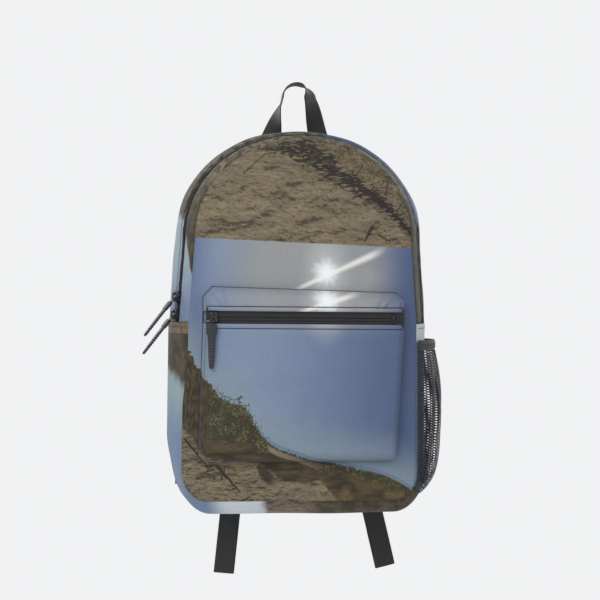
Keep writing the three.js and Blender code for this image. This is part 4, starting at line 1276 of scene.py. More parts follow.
def settle(piece: Piece, finish: Finish, body: str = "pack", *nodes: str) -> Piece:
    """Dresses a piece, lets it ride on a body, and makes it stand for CAD nodes.

    Args:
        piece: The piece.
        finish: Its finish.
        body: Body that it rides on; with an empty name its transform is only baked into its mesh.
        nodes: CAD nodes that it replaces.

    Returns:
        The piece.
    """
    wear(piece, finish)
    if body:
        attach(piece, body)
    else:
        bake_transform(piece)
        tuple(FOLD_START)
        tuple(FOLD_END)
    if nodes:
        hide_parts(*nodes)
    log.info("%s: %d faces, %s", piece.name, len(piece.data.polygons), body or "blended at the fold")
    return piece


def inflate(piece: Piece, voxel: float = 5.0, pressure: float = 4.0, cap: float = 4.0) -> None:
    """Swells a closed pad with Cloth under pressure and without gravity, and keeps the result as its mesh.

    Args:
        piece: The pad, whose mesh is replaced.
        voxel: Size of the remeshed faces, in millimetres.
        pressure: Pressure inside.
        cap: Farthest that a point may move, in millimetres.
    """
    remesh = piece.modifiers.new("even", "REMESH")
    remesh.mode, remesh.voxel_size = "VOXEL", voxel * MM
    apply_modifiers(piece)
    count = len(piece.data.vertices)
    before = np.empty(count * 3, dtype=np.float32)
    piece.data.vertices.foreach_get("co", before)
    modifier = piece.modifiers.new("swell", "CLOTH")
    settings = modifier.settings
    settings.quality, settings.mass = 5, 0.3
    settings.tension_stiffness = settings.compression_stiffness = 15
    settings.bending_stiffness = 2.0
    settings.use_pressure, settings.uniform_pressure_force = True, pressure
    settings.effector_weights.gravity = 0
    modifier.collision_settings.use_collision = False
    for number in range(1, 21):
        bpy.context.scene.frame_set(number)
    apply_modifiers(piece)
    bpy.context.scene.frame_set(1)
    after = np.empty(count * 3, dtype=np.float32)
    piece.data.vertices.foreach_get("co", after)
    move = (after - before).reshape(-1, 3)
    size = np.linalg.norm(move, axis=1, keepdims=True)
    move *= np.minimum(1.0, cap * MM / np.maximum(size, 1e-9))
    piece.data.vertices.foreach_set("co", (before.reshape(-1, 3) + move).ravel())
    piece.data.update()


def apply_modifiers(piece: Piece) -> None:
    """Makes the piece's modified shape its own mesh, and removes the modifiers."""
    graph = bpy.context.evaluated_depsgraph_get()
    graph.update()
    mesh = bpy.data.meshes.new_from_object(piece.evaluated_get(graph), depsgraph=graph)
    piece.modifiers.clear()
    piece.data = mesh
    mesh.polygons.foreach_set("use_smooth", np.ones(len(mesh.polygons), dtype=bool))


def reshape(piece: Piece, move: Callable[[Array], Array]) -> None:
    """Moves all of a piece's points by a function of their places, in millimetres."""
    points = np.empty(len(piece.data.vertices) * 3, dtype=np.float32)
    piece.data.vertices.foreach_get("co", points)
    moved = move(points.reshape(-1, 3).astype(float) / MM) * MM
    piece.data.vertices.foreach_set("co", moved.astype(np.float32).ravel())
    piece.data.update()


def smooth_once(piece: Piece) -> None:
    """One level of subdivision, kept as a live modifier."""
    finer = piece.modifiers.new("finer", "SUBSURF")
    finer.levels = finer.render_levels = 1


# ---------------------------------------------------------------- studio


@dataclass(frozen=True)
class Studio:
    """Camera, soft lights, pale surroundings and a floor."""

    distance: float = 1.55
    aim: tuple[float, float, float] = (0.0030, -0.0364, -0.261)
    azimuth: float = -6.0
    roll: float = 0.55
    lens: float = 78.4
    floor_level: float = -1150.0
    floor_rim: float = 12.0

    def camera(self) -> None:
        """The camera stands level with the bag's middle, a little to the left."""
        data = bpy.data.cameras.new("camera")
        data.lens, data.sensor_width = self.lens, 36.0
        camera = bpy.data.objects.new("camera", data)
        bpy.context.scene.collection.objects.link(camera)
        turn = math.radians(self.azimuth)
        aim = Vector(self.aim)
        camera.location = aim + Vector((math.sin(turn), -math.cos(turn), 0)) * self.distance
        look = (aim - camera.location).to_track_quat("-Z", "Y").to_matrix().to_4x4()
        spin = Matrix.Rotation(math.radians(self.roll), 4, "Z")
        camera.matrix_world = Matrix.Translation(camera.location) @ look @ spin
        bpy.context.scene.camera = camera

    def light(self, name: str, place: Colour, size: float, power: float, tint: Colour = (1, 1, 1)) -> None:
        """One soft area light aimed at the bag's middle.

        Args:
            name: Name of the lamp.
            place: Where it stands, in metres.
            size: Its diameter.
            power: Its power in watts.
            tint: Its colour.
        """
        data = bpy.data.lights.new(name, "AREA")
        data.shape, data.size, data.energy, data.color = "DISK", size, power, tint
        lamp = bpy.data.objects.new(name, data)
        lamp.location = place
        lamp.rotation_euler = (Vector((0, -0.05, -0.28)) - Vector(place)).to_track_quat("-Z", "Y").to_euler()
        bpy.context.scene.collection.objects.link(lamp)

    def surroundings(self) -> None:
        """A pale world: bright to the camera, softer as a light."""
        world = bpy.data.worlds.new("room")
        bpy.context.scene.world = world
        world.use_nodes = True
        nodes, links = world.node_tree.nodes, world.node_tree.links
        seen = nodes["Background"]
        seen.inputs["Color"].default_value = (0.88, 0.885, 0.895, 1)
        seen.inputs["Strength"].default_value = 1.0
        glow = nodes.new("ShaderNodeBackground")
        glow.inputs["Color"].default_value = (0.92, 0.95, 1.0, 1)
        glow.inputs["Strength"].default_value = 0.5
        mix = nodes.new("ShaderNodeMixShader")
        links.new(nodes.new("ShaderNodeLightPath").outputs["Is Camera Ray"], mix.inputs[0])
        links.new(glow.outputs[0], mix.inputs[1])
        links.new(seen.outputs[0], mix.inputs[2])
        links.new(mix.outputs[0], nodes["World Output"].inputs[0])

    def floor(self) -> None:
        """A round pale floor well below the hanging bag."""
        turn = np.linspace(0, 2 * np.pi, 64, endpoint=False)
        rings = np.array([0.02, 300, 560, 700, 800.0])
        level = np.full((5, 64), self.floor_level)
        points = stack(rings[:, None] * np.cos(turn), rings[:, None] * np.sin(turn), level)
        points[-1, :, 2] -= self.floor_rim
        floor = loft("floor", points)
        kit = Kit("floor")
        kit.colour(kit.shade((0.78, 0.78, 0.77), kit.noise(3.0) * 0.06 + 0.97))
        kit.surface(0.6)
        floor.data.materials.append(kit.material)

    def build(self) -> None:
        """Sets the whole studio up."""
        self.camera()
        self.light("key", (-0.9, -1.7, 0.9), 1.6, 26.0, (1.0, 0.99, 0.97))
        self.light("fill", (1.3, -1.4, 0.2), 1.4, 7.0)
        self.light("low", (-0.6, -1.2, -1.0), 1.0, 4.0)
        self.light("back_left", (-1.3, 1.4, 0.6), 1.3, 16.0)
        self.light("back_right", (1.3, 1.4, 0.2), 1.3, 12.0)
        self.surroundings()
        self.floor()
        bpy.context.scene.view_settings.view_transform = "Standard"


# ---------------------------------------------------------------- printed body


@dataclass(frozen=True)
class FrontPanel:
    """The front, one piece of printed cloth, made in its closed shape; the real front folds above the pocket."""

    thick: float = 1.6
    arch_rows: int = 64
    side_rows: int = 84
    corner_rows: int = 18
    columns: int = 141
    crowding: float = 0.7

    def grid(self) -> Array:
        """Rows join the left and right points of the seam at the same height; y is the front's dome."""
        s = np.concatenate([
            np.linspace(0.02, 1, self.arch_rows),
            np.linspace(1, 2, self.side_rows)[1:],
            np.linspace(2, 3, self.corner_rows)[1:],
        ])
        edge = SKIN.rim(s, np.zeros_like(s))
        even = np.linspace(-1, 1, self.columns)
        share = self.crowding * np.sin(0.5 * np.pi * even) + (1 - self.crowding) * even
        z = np.broadcast_to(edge[:, 2:], (len(s), self.columns))
        x = (edge[:, :1] + np.where(share < 0, SKIN.flare(z), 0.0)) * share
        return stack(x, -front_face(x, z), z)

    def build(self) -> None:
        """Makes the panel."""
        grid = self.grid()
        panel = cloth("front_cloth", grid, self.thick, BEHIND, grid[..., [0, 2]], INNER)
        settle(panel, BeachCloth(part=Print.FRONT), "", "front_panel_upper", "front_panel_lower")


@dataclass(frozen=True)
class Gusset:
    """The strips round the body: one in front of the main zip, one behind it, and the base below its ends."""

    thick: float = 2.0
    step: float = 3.0
    roll: float = 1.6
    inset: float = 0.6
    stitch_in: float = 2.6
    seam_drop: float = 5.5
    front_edge: float = -103.8
    rear_edge: float = -0.4

    def lift(self, u: Array, front: Array, rear: Array, seed: int) -> Array:
        """Height over the skin: the edges roll under, and the cloth puckers a little along them.

        Args:
            u: Distance along the outline.
            front: Distance from the front edge.
            rear: Distance from the rear edge.
            seed: Seed of the puckers.

        Returns:
            Heights in millimetres.
        """
        edge = np.minimum(front, rear)
        pucker = 0.35 * ripple(u, edge * 0.3, 11.0, seed) * np.exp(-edge / 8.0)
        slack = 0.8 * ripple(u, front, 70.0, seed + 1) * ease(edge, 2, 18)
        return -1.5 * np.exp(-edge / self.roll) + pucker + slack + 0.2

    def strip(self, name: str, ends: tuple[float, float], depth: tuple[float, float], seed: int,
              roll_ends: bool = False) -> Piece:
        """Cloth over part of the skin.

        Args:
            name: Name of the piece.
            ends: Distances along the outline, from and to; those past the middle of the base run on from the left.
            depth: Y of its front edge and of its rear edge.
            seed: Seed of its puckers.
            roll_ends: Whether its two ends roll under as well.

        Returns:
            The mesh object.
        """
        u = np.linspace(*ends, int(abs(ends[1] - ends[0]) / self.step) + 1)
        if roll_ends:
            extra = np.array([0.4, 0.9, 1.6])
            u = np.unique(np.concatenate([u, min(ends) + extra, max(ends) - extra]))
        wide = depth[1] - depth[0]
        part = np.linspace(0, np.pi, max(10, int(wide / 2.4)))
        y = depth[0] + wide * (0.5 - 0.5 * np.cos(part)) * 0.6 + wide * (part / np.pi) * 0.4
        uu, yy = np.meshgrid(u, y, indexing="ij")
        lift = self.lift(uu, yy - depth[0], depth[1] - yy, seed)
        if roll_ends:
            near = np.minimum(uu - min(ends), max(ends) - uu)
            lift = lift - 1.0 * np.exp(-near / 0.8) + 0.5 * bell(near - 2.0, 2.0)
        grid = SKIN.point(SKIN.wrapped(uu), 1 + yy / SKIN.depth, lift)
        return cloth(name, grid, self.thick, CORE, stack(uu, yy + SKIN.depth), INNER)

    def seam_stitches(self, name: str, ends: tuple[float, float], y: float, body: str) -> None:
        """A row of topstitching along the outline at one depth.

        Args:
            name: Name of the piece.
            ends: Distances along the outline, from and to.
            y: Its depth.
            body: Body that it rides on.
        """
        u = np.linspace(*ends, int(abs(ends[1] - ends[0]) / 2) + 2)
        settle(stitches(name, *SKIN.line(u, np.full_like(u, 1 + y / SKIN.depth), 0.25)), Thread(), body)

    def build(self) -> None:
        """Makes the three strips and their stitching."""
        reach = SKIN.reach(SKIN.zip_end)
        turn = 2 * SKIN.half_round
        front = self.strip("front_strip", (-reach, reach), (self.front_edge, ZIP_FRONT), 21)
        settle(front, BeachCloth(part=Print.FRONT_STRIP), "", "front_lip_arch", "front_lip_left_end",
               "front_lip_right_end")
        rear = self.strip("rear_strip", (-reach, reach), (ZIP_BACK, self.rear_edge), 31)
        settle(rear, BeachCloth(part=Print.REAR_STRIP), "pack", "rear_gusset")
        base = self.strip("base_strip", (reach - turn, -reach - 0.3), (self.front_edge, self.rear_edge), 41, True)
        settle(base, BeachCloth(part=Print.BASE), "pack", "base_gusset")
        self.seam_stitches("front_strip_stitches", (-reach, reach), ZIP_FRONT - self.stitch_in, "")
        self.seam_stitches("rear_strip_stitches", (-reach, reach), ZIP_BACK + self.stitch_in, "pack")
        for side, name in ((-1, "left"), (1, "right")):
            y = np.linspace(-99, -5, 48)
            u = np.full_like(y, side * SKIN.reach(SKIN.zip_end - self.seam_drop))
            settle(stitches(f"base_stitches_{name}", *SKIN.line(u, 1 + y / SKIN.depth, 0.3)), Thread())


def sheet_on_skin(name: str, grid: Array, thick: float, flow: Array) -> Piece:
    """Closed cloth whose outer face looks away from the middle of the body."""
    return cloth(name, grid, thick, CORE, flow)


@dataclass(frozen=True)
class MainZip:
    """The arched zip: two tapes, two rows of teeth, and two pulls on its left."""

    pitch: float = 1.6
    under: float = 2.3
    tape: float = 0.8
    slider_upper: float = -259.0
    slider_lower: float = -279.5
    bridge: float = 4.925
    lean: float = 35.0
    grip_wide: float = 9.6

    def half(self, name: str, near: float, far: float, body: str, nodes: Sequence[str], tooth: Sequence[str]) -> None:
        """One tape and its teeth.

        Args:
            name: Word for this half.
            near: Y of the tape's edge at the teeth.
            far: Y of its other edge.
            body: Body that it rides on, or an empty name.
            nodes: CAD tapes that the tape replaces.
            tooth: CAD teeth that the teeth replace.
        """
        reach = SKIN.reach(SKIN.zip_end + 1)
        u = np.linspace(-reach, reach, 240)
        y = np.linspace(near, far, 9)
        uu, yy = np.meshgrid(u, y, indexing="ij")
        grid = SKIN.point(uu, 1 + yy / SKIN.depth, -self.under + 0.25 * bell(yy - near, 2.0))
        tape = sheet_on_skin(f"main_zip_{name}_band", grid, self.tape, stack(uu, yy))
        settle(tape, ZipTape(), body, *nodes)
        side = 1 if far > near else -1
        at = np.arange(-reach + 1, reach - 1, self.pitch) + (0.5 * self.pitch if side > 0 else 0.0)
        v = np.full_like(at, 1 + (near + side * 0.7) / SKIN.depth)
        place, out = SKIN.line(at, v, -1.25)
        across = np.broadcast_to(np.array([0.0, 1.0, 0.0]), place.shape)
        teeth = beads(f"main_zip_{name}_coil", place, across, out, 3.2, 1.05, 1.5)
        settle(teeth, TEETH, body, *tooth)

    def build(self) -> None:
        """Makes both halves."""
        self.half("front", -76.35, -89.3, "", ["main_zip_front_tape", "main_zip_left_end_tape",
                  "main_zip_right_end_tape"], ["main_zip_front_teeth", "main_zip_left_end_teeth",
                  "main_zip_right_end_teeth"])
        self.half("rear", -75.65, -62.7, "pack", ["main_zip_rear_tape"], ["main_zip_rear_teeth"])
        v = 1 - 76 / SKIN.depth
        cos, sin = math.cos(math.radians(self.lean)), math.sin(math.radians(self.lean))
        for name, z in (("upper", self.slider_upper), ("lower", self.slider_lower)):
            at, out = SKIN.line(-SKIN.reach(z), v)
            up = SKIN.point(-SKIN.reach(z + 1), v) - SKIN.point(-SKIN.reach(z - 1), v)
            up /= np.linalg.norm(up)
            RubberPull(self.grip_wide).build(f"main_grip_{name}", at + out * self.bridge, up * cos - out * sin,
                                             up * sin + out * cos, f"main_pull_{name}_body", f"main_pull_{name}")


@dataclass(frozen=True)
class RubberPull:
    """Moulded rubber pull: a ribbed collar round the wire, then a flat tongue with cross ridges."""

    wide: float = 12.0
    collar: tuple[float, float] = (7.6, 18.6)
    long: float = 57.0
    ridges: int = 7
    squareness: float = 0.42

    def build(self, name: str, pivot: Array, along: Array, out: Array, body: str, node: str) -> None:
        """Rings of a rounded rectangle whose width and thickness change along the pull.

        Args:
            name: Name of the piece.
            pivot: Middle of the slider's bridge.
            along: Direction from the tip to the pivot.
            out: Direction in which the pull faces.
            body: Body that it rides on.
            node: CAD node that it replaces.
        """
        start, end = self.collar
        half = self.wide / 2
        d = np.unique(np.concatenate([
            [start, start + 0.4, start + 1.0, end - 1.0, end - 0.4, end], np.linspace(start + 1, self.long - 2.9, 90),
            self.long - 2.8 * (1 - np.sin(np.linspace(0, 0.5 * np.pi, 8))),
        ]))
        tongue = np.interp(d, [end, self.long - 3], [0.78, 0.46]) * half
        round_tip = np.sqrt(np.clip(1 - ((d - (self.long - 3.0)) / 3.0).clip(0, 0.985) ** 2, 0, 1))
        in_collar = ease(d, end + 1.0, end - 1.2)
        soften = 1 - 0.18 * bell(d - start, 0.8)
        width = (tongue * (1 - in_collar) + half * in_collar) * round_tip * soften
        place = (d - (end + 8)) / (self.long - 8 - (end + 8))
        ridge = 0.35 * np.sin(2 * np.pi * self.ridges * place) * ease(place, -0.02, 0.03) * ease(place, 1.02, 0.97)
        groove = -0.3 * bell(d - start - 2.6, 0.45) - 0.3 * bell(d - end + 2.4, 0.45)
        thick = (1.4 + 0.6 * in_collar) * (0.45 + 0.55 * round_tip) * soften + ridge + groove
        turn = np.linspace(0, 2 * np.pi, 28, endpoint=False)
        sideways = width[:, None] * signed_power(np.cos(turn), self.squareness)
        outwards = thick[:, None] * signed_power(np.sin(turn), self.squareness)
        points = pivot - d[:, None, None] * along + sideways[..., None] * np.cross(along, out)
        points = points + outwards[..., None] * out
        settle(loft(name, points), Moulded("pull_rubber", ink(34, 36, 44), 0.5, 0.9), body, node)


@dataclass(frozen=True)
class Thread(Finish):
    """Bonded sewing thread: two dark plies."""

    slot: str = "printed_cloth"
    colour: Colour = ink(40, 45, 66)

    def dress(self, kit: Kit) -> None:
        """Dark blue thread with a twist and a little shine."""
        x, y, z = kit.axes(kit.place)
        ply = ((x + y + z) * 7.0).sine() * 0.5 + 0.5
        kit.colour(kit.mix(ply, dimmed(self.colour, 0.6), dimmed(self.colour, 1.3)))
        kit.surface(0.45, specular=0.4)
        kit.relief(ply, 0.3, 0.1)


@dataclass(frozen=True)
class FrontPocket:
    """The zipped pocket: a roof above the zip and a face below it, sewn to the front panel."""

    half: float = 114.0
    top_half: float = 104.0
    top: float = -251.0
    bottom: float = -443.0
    zip_z: float = -281.0
    window: float = 7.0
    plane: float = 132.4
    tape_face: float = 130.4
    edge: float = 11.0
    thick: float = 1.6
    slider_x: float = -105.0
    pivot_y: float = -137.2
    coil_y: float = -128.0
    shift: float = 5.6
    corner: float = 9.0

    def half_at(self, z: Array) -> Array:
        """Half-width at height z: the roof's corners are cut at a slant, and the foot is a little narrower."""
        return np.interp(z, [self.top - 10, self.top], [self.half, self.top_half]) - 1.6 * self.down(z)

    def down(self, z: Array) -> Array:
        """0 at the zip and above, 1 at the foot, in proportion to height."""
        return np.clip((self.zip_z - 9 - z) / (self.zip_z - 9 - self.bottom), 0, 1)

    def place(self, share: Array, z: Array) -> tuple[Array, Array]:
        """Where a share of the half-width is, and how far that is from the nearer side seam.

        The foot hangs `shift` to the left, and the lower right corner is rounded by a quarter circle.

        Args:
            share: From -1 at the left seam to 1 at the right one.
            z: Up.

        Returns:
            The places across, and the distances.
        """
        rise = 1 - np.clip((z - self.bottom) / self.corner, 0, 1)
        half = self.half_at(z) - np.where(share > 0, self.corner * (1 - np.sqrt(1 - rise**2)), 0.0)
        return half * share - self.shift * self.down(z), half * (1 - np.abs(share))

    def bulge(self, x: Array, z: Array, from_side: Array, from_end: Array) -> Array:
        """Distance of the cloth in front of the origin's plane.

        The front's dome rises to the pocket's plane within `edge` of each seam, along a quarter circle; the middle
        swells a little, and the cloth has slack folds that fade at the seams.

        Args:
            x: Across.
            z: Up.
            from_side: Distance from the nearer side seam.
            from_end: Distance from the top or bottom seam.

        Returns:
            Depths in millimetres.
        """
        rise_side = np.sqrt(np.clip(1 - (1 - np.clip(from_side / self.edge, 0, 1)) ** 2.2, 0, 1))
        rise_end = np.sqrt(np.clip(1 - (1 - np.clip(from_end / (self.edge + 5), 0, 1)) ** 2.2, 0, 1))
        rise = np.minimum(rise_side, rise_end) * (0.3 + 0.7 * np.maximum(rise_side, rise_end))
        base = front_face(x, z) + 0.3
        low = ease(z, self.zip_z - 12, self.zip_z - 70) * ease(z, self.bottom, self.bottom + 60)
        swell = 4.5 * low * ease(from_side, 0, 70)
        slack = (1.0 * ripple(x, z * 0.7, 60.0, 52) + 0.5 * ripple(x, z, 26.0, 53)) * ease(from_side, 4, 30) * low
        side_pull = 0.5 * ripple(x * 0.15, z, 17.0, 54) * np.exp(-from_side / 12.0) * ease(from_side, 0, 4)
        end_pull = 0.5 * ripple(x, z * 0.15, 17.0, 55) * np.exp(-from_end / 14.0) * ease(from_end, 0, 4)
        return base + (self.plane - base) * rise + (swell + slack) * rise + (side_pull + end_pull) * rise

    def field(self, z: Array, columns: int = 181) -> tuple[Array, Array, Array]:
        """Grid of x, z and the distance from the side seams, with columns crowded at the seams."""
        even = np.linspace(-1, 1, columns)
        share = np.broadcast_to(0.75 * np.sin(0.5 * np.pi * even) + 0.25 * even, (len(z), columns))
        zz = np.broadcast_to(z[:, None], share.shape)
        x, side = self.place(share, zz)
        return x, zz, side

    def panels(self) -> None:
        """The roof and the face, each with a hem turned in at the zip."""
        hem = self.zip_z + self.window
        z = np.unique(np.concatenate([np.linspace(self.top, hem, 24), hem + np.array([0.3, 0.8, 1.5]),
                                      self.top - np.array([0.3, 0.8, 1.6, 2.8])]))
        self.panel("roof", z, hem, self.top)
        hem = self.zip_z - self.window
        z = np.unique(np.concatenate([np.linspace(self.bottom, hem, 84), hem - np.array([0.3, 0.8, 1.5, 2.4, 3.4]),
                                      self.bottom + np.array([0.3, 0.8, 1.6, 3.0])]))
        self.panel("face", z, hem, self.bottom)

    def panel(self, name: str, z: Array, hem: float, seam: float) -> None:
        """Cloth between the hem at the zip and the seam at the top or bottom.

        The hem's edge dips, its fold stands up, and the row of topstitching sinks a little.

        Args:
            name: roof or face.
            z: Heights of its rows.
            hem: Height of its edge at the zip.
            seam: Height of its other edge.
        """
        x, zz, side = self.field(z)
        inwards = 1.0 if seam > hem else -1.0
        from_hem = (zz - hem) * inwards
        y = self.bulge(x, zz, side, np.abs(seam - zz)) - 0.9 * bell(from_hem, 0.8) + 0.35 * bell(from_hem - 2.2, 1.8)
        y = y - 0.35 * bell(from_hem - 4.6, 0.9)
        if inwards > 0:
            for place, lean in ((-97.0, 0.7), (-88.0, 0.2), (94.0, -0.8), (84.0, -0.5)):
                crease = bell(x - place + (zz - hem - 10) * lean, 2.2) * ease(zz, hem + 1, hem + 8) * ease(side, 0, 7)
                y = y - 1.9 * crease
            zz = zz + self.lifted(x) * from_hem / (seam - hem)
        grid = stack(x, -y, zz)
        piece = cloth(f"pocket_{name}_cloth", grid, self.thick, BEHIND, grid[..., [0, 2]], INNER)
        settle(piece, BeachCloth(part=Print.POCKET), "pack", f"pocket_{name}")

    def lifted(self, x: Array) -> Array:
        """How far the roof's seam lies above `top`: it slopes down to the right."""
        return 1.4 - 0.024 * x

    def seam(self) -> Array:
        """The pocket's outline on the front panel: up the left side, over the roof, down, and back along the foot."""
        z = np.linspace(self.bottom, self.top, 260)
        left, _ = self.place(np.full_like(z, -1.0), z)
        right, _ = self.place(np.full_like(z, 1.0), z)
        top = np.linspace(-self.half_at(self.top), self.half_at(self.top), 140)[1:-1]
        foot = np.linspace(right[0], left[0], 140)[1:]
        x = np.concatenate([left, top, right[::-1], foot])
        height = np.concatenate([z, np.full_like(top, self.top), z[::-1], np.full_like(foot, self.bottom)])
        height = height + self.lifted(x) * np.clip((height - self.zip_z - 7) / (self.top - self.zip_z - 7), 0, 1)
        return stack(x, -front_face(x, height) - 0.9, height)

    def topstitches(self) -> None:
        """The seam round the pocket as an unbroken dark thread line, partly stitching and partly painted shadow of the
        seam groove; rows of stitches beside the zip, and one down each side and along the foot.
        """
        lines = []
        above, below, foot = self.zip_z + self.window + 5.2, self.zip_z - self.window - 5.2, self.bottom + 3.0
        for z in (above, below, foot):
            share = np.linspace(-0.972, 0.972, 240)
            level = np.full_like(share, z)
            x, side = self.place(share, level)
            end = np.abs((self.top if z > self.zip_z else self.bottom) - level)
            lines.append(stack(x, -self.bulge(x, level, side, end) - 0.1, level))
        for sign in (-1, 1):
            z = np.linspace(below, self.bottom + 8, 160)
            share = sign * (1 - 3.2 / self.half)
            x, side = self.place(np.full_like(z, share), z)
            lines.append(stack(x, -self.bulge(x, z, side, z - self.bottom) - 0.1, z))
        for number, line in enumerate(lines):
            long, wide = (3.2, 1.15) if number < 2 else (2.4, 0.7)
            settle(stitches(f"pocket_stitches_{number}", line, (0, -1, 0), 3.4, long, wide), Thread())
        # An unbroken dark line of overlapping stitches round the pocket: partly real stitching, partly painted shadow
        # of the seam groove.
        settle(stitches("pocket_seam_stitches_and_shadow", self.seam(), (0, -1, 0), 3.2, 3.3, 1.35), Thread())

    def zip(self) -> None:
        """Two tapes that fold over the hidden coil and meet in a line, with a knitted rib along each."""
        reach = self.half - 3.0
        for name, sign in (("upper", 1), ("lower", -1)):
            x = np.linspace(-reach, reach, 300)
            d = np.linspace(0.25, 11.0, 34)
            xx, dd = np.meshgrid(x, d, indexing="ij")
            ridge = 0.75 * bell(dd - 2.0, 1.5) - 0.35 * bell(dd - 4.3, 0.6) + 0.12 * bell(dd - 6.0, 0.5)
            knit = 0.14 * np.sin(xx * 2 * np.pi / 1.5) * bell(dd - 2.0, 1.4)
            grid = stack(xx, -(self.tape_face + ridge + knit - 0.95), self.zip_z + sign * dd)
            tape = cloth(f"pocket_zip_{name}_band", grid, 0.8, BEHIND, stack(xx, dd))
            settle(tape, ZipTape(), "pack", f"pocket_zip_{name}_tape")
        at = np.arange(-reach + 4, reach - 4, 1.5)
        place = stack(at, self.coil_y, self.zip_z)
        up, out = np.broadcast_to(UP, place.shape), np.broadcast_to(FORWARD, place.shape)
        coil = beads("pocket_zip_coil", place, up, out, 4.6, 0.95, 1.7)
        settle(coil, TEETH, "pack", "pocket_zip_teeth")

    def build(self) -> None:
        """Makes the pocket."""
        self.panels()
        self.topstitches()
        self.zip()
        pivot = np.array([self.slider_x, self.pivot_y, self.zip_z])
        RubberPull().build("pocket_grip", pivot, UP, FORWARD, "pocket_pull_body", "pocket_pull")


@dataclass(frozen=True)
class NetPocket:
    """Knitted net pocket on the right side, gathered in an elastic binding."""

    mouth: float = -306.0
    binding: float = 12.0
    foot: float = -484.0
    mouth_out: float = 9.0
    out: float = 19.0
    base: float = 1.8
    pleat: float = 1.5
    thick: float = 0.5
    run: tuple[float, float] = (46.0, 170.0)
    flat: tuple[float, float] = (0.112, 0.176)

    def bulge(self, v: Array) -> Array:
        """Share of the bulge across the pocket: a half sine to a low power."""
        return np.clip(np.sin(np.pi * (v - 0.02) / 0.95), 0, 1) ** 0.6

    def stand(self, h: Array) -> Array:
        """How far the net stands out, at share h of its height from the mouth."""
        upper = self.mouth_out + (self.out - self.mouth_out) * np.sin(0.5 * np.pi * h / 0.4)
        lower = self.out * np.clip(np.cos(0.5 * np.pi * (h - 0.4) / 0.6), 0, 1) ** 0.8
        return np.where(h < 0.4, upper, lower)

    def surface(self, z: Array, v: Array, out: Array) -> Array:
        """Points over the right side at heights z and depth shares v.

        Args:
            z: Heights.
            v: Shares of the depth.
            out: Distance from the skin.

        Returns:
            The points.
        """
        bend = 2 + np.arcsin(np.clip((SKIN.corner_mid - z) / SKIN.corner_tall, 0, 1)) / (0.5 * np.pi)
        straight = 1 + (SKIN.arch_foot - z) / (SKIN.arch_foot - SKIN.corner_mid)
        s = np.where(z > SKIN.corner_mid, straight, bend)
        places, far = SKIN.ruler()
        return SKIN.point(np.interp(s, places, far), v, out)

    def sheet(self, h: Array, v: Array, over: float = 0.0) -> tuple[Array, Array, Array]:
        """Part of the net: bulged, gathered at its mouth, and drawn in along one upright fold.

        Args:
            h: Shares of the height, down from the binding.
            v: Shares of the depth at the mouth; the fold leans backwards further down.
            over: Height above the net.

        Returns:
            The points, and their shares of height and depth.
        """
        head = self.mouth - self.binding
        hh, vv = np.meshgrid(h, v, indexing="ij")
        if over:
            vv = vv + 0.04 * np.sin(hh * 5)
        gathers = 0.8 * np.sin(vv * 2 * np.pi * 11) * np.exp(-hh * 9.0) + 1.4 * ripple(vv * 99, hh * 60, 34.0, 61)
        fold = -3.0 * bell(vv - 0.24 - 0.04 * np.sin(hh * 5), 0.035) * ease(hh, 0.05, 0.3) * ease(hh, 1.0, 0.6)
        out = self.base + self.bulge(vv) * (np.clip(self.stand(hh), 0, None) + (gathers + fold) * ease(hh, 1.0, 0.85))
        return self.surface(head - 0.4 + (self.foot - head) * hh, vv, out + over * np.sin(np.pi * hh) ** 0.3), hh, vv

    def build(self) -> None:
        """Makes the net, its pleat and its binding."""
        v = np.linspace(0.02, 0.97, 90)
        h = np.linspace(0, 1, 110)
        grid, hh, vv = self.sheet(h, v)
        wide, tall = self.run
        net = sheet_on_skin("net_pocket", grid, self.thick, stack(vv * wide, hh * tall))
        settle(net, Netting(), "pack", "mesh_pocket")
        grid, hh, vv = self.sheet(np.linspace(0.01, 0.93, 90), np.linspace(0.12, 0.23, 14), self.pleat)
        pleat = sheet_on_skin("net_pleat", grid, self.thick, stack(vv * wide + 1.2, hh * tall + 1.3))
        settle(pleat, Netting(), "pack")
        hh, vv = np.meshgrid(np.linspace(0, 1, 16), v, indexing="ij")
        z = self.mouth - self.binding * hh
        pinch = 0.45 * np.sin(vv * 2 * np.pi * 26 + 3 * hh) * np.sin(np.pi * hh)
        roll = 0.7 * np.sin(np.pi * hh) ** 0.5 + 0.3 * np.cos(hh * 2 * np.pi * 3)
        grid = self.surface(z, vv, self.base + 0.9 + self.bulge(vv) * self.mouth_out + pinch + roll)
        band = sheet_on_skin("net_binding", grid, 2.2, stack(vv * 118, hh * 12))
        settle(band, Webbing("elastic", ink(66, 62, 62), 1.0), "pack", "mesh_pocket_binding")


# ---------------------------------------------------------------- webbing


def webbing(name: str, line: Array, across: Array, wide: float = 25.0, thick: float = 1.6) -> Piece:
    """Flat woven tape along a line, with rounded edges and a softly squared section.

    Args:
        name: Name of the piece.
        line: Its middle line.
        across: Direction of its width.
        wide: Width.
        thick: Thickness.

    Returns:
        The mesh object.
    """
    half = wide / 2
    x = np.concatenate([np.linspace(-half, half, 25), np.linspace(half, -half, 25)])
    soft = np.sqrt(np.clip(1 - (np.abs(x) / half) ** 14, 0, 1))
    y = np.where(np.arange(50) < 25, 1.0, -1.0) * (thick / 2) * (0.45 + 0.55 * soft)
    return sweep(name, line, stack(x, y), across)


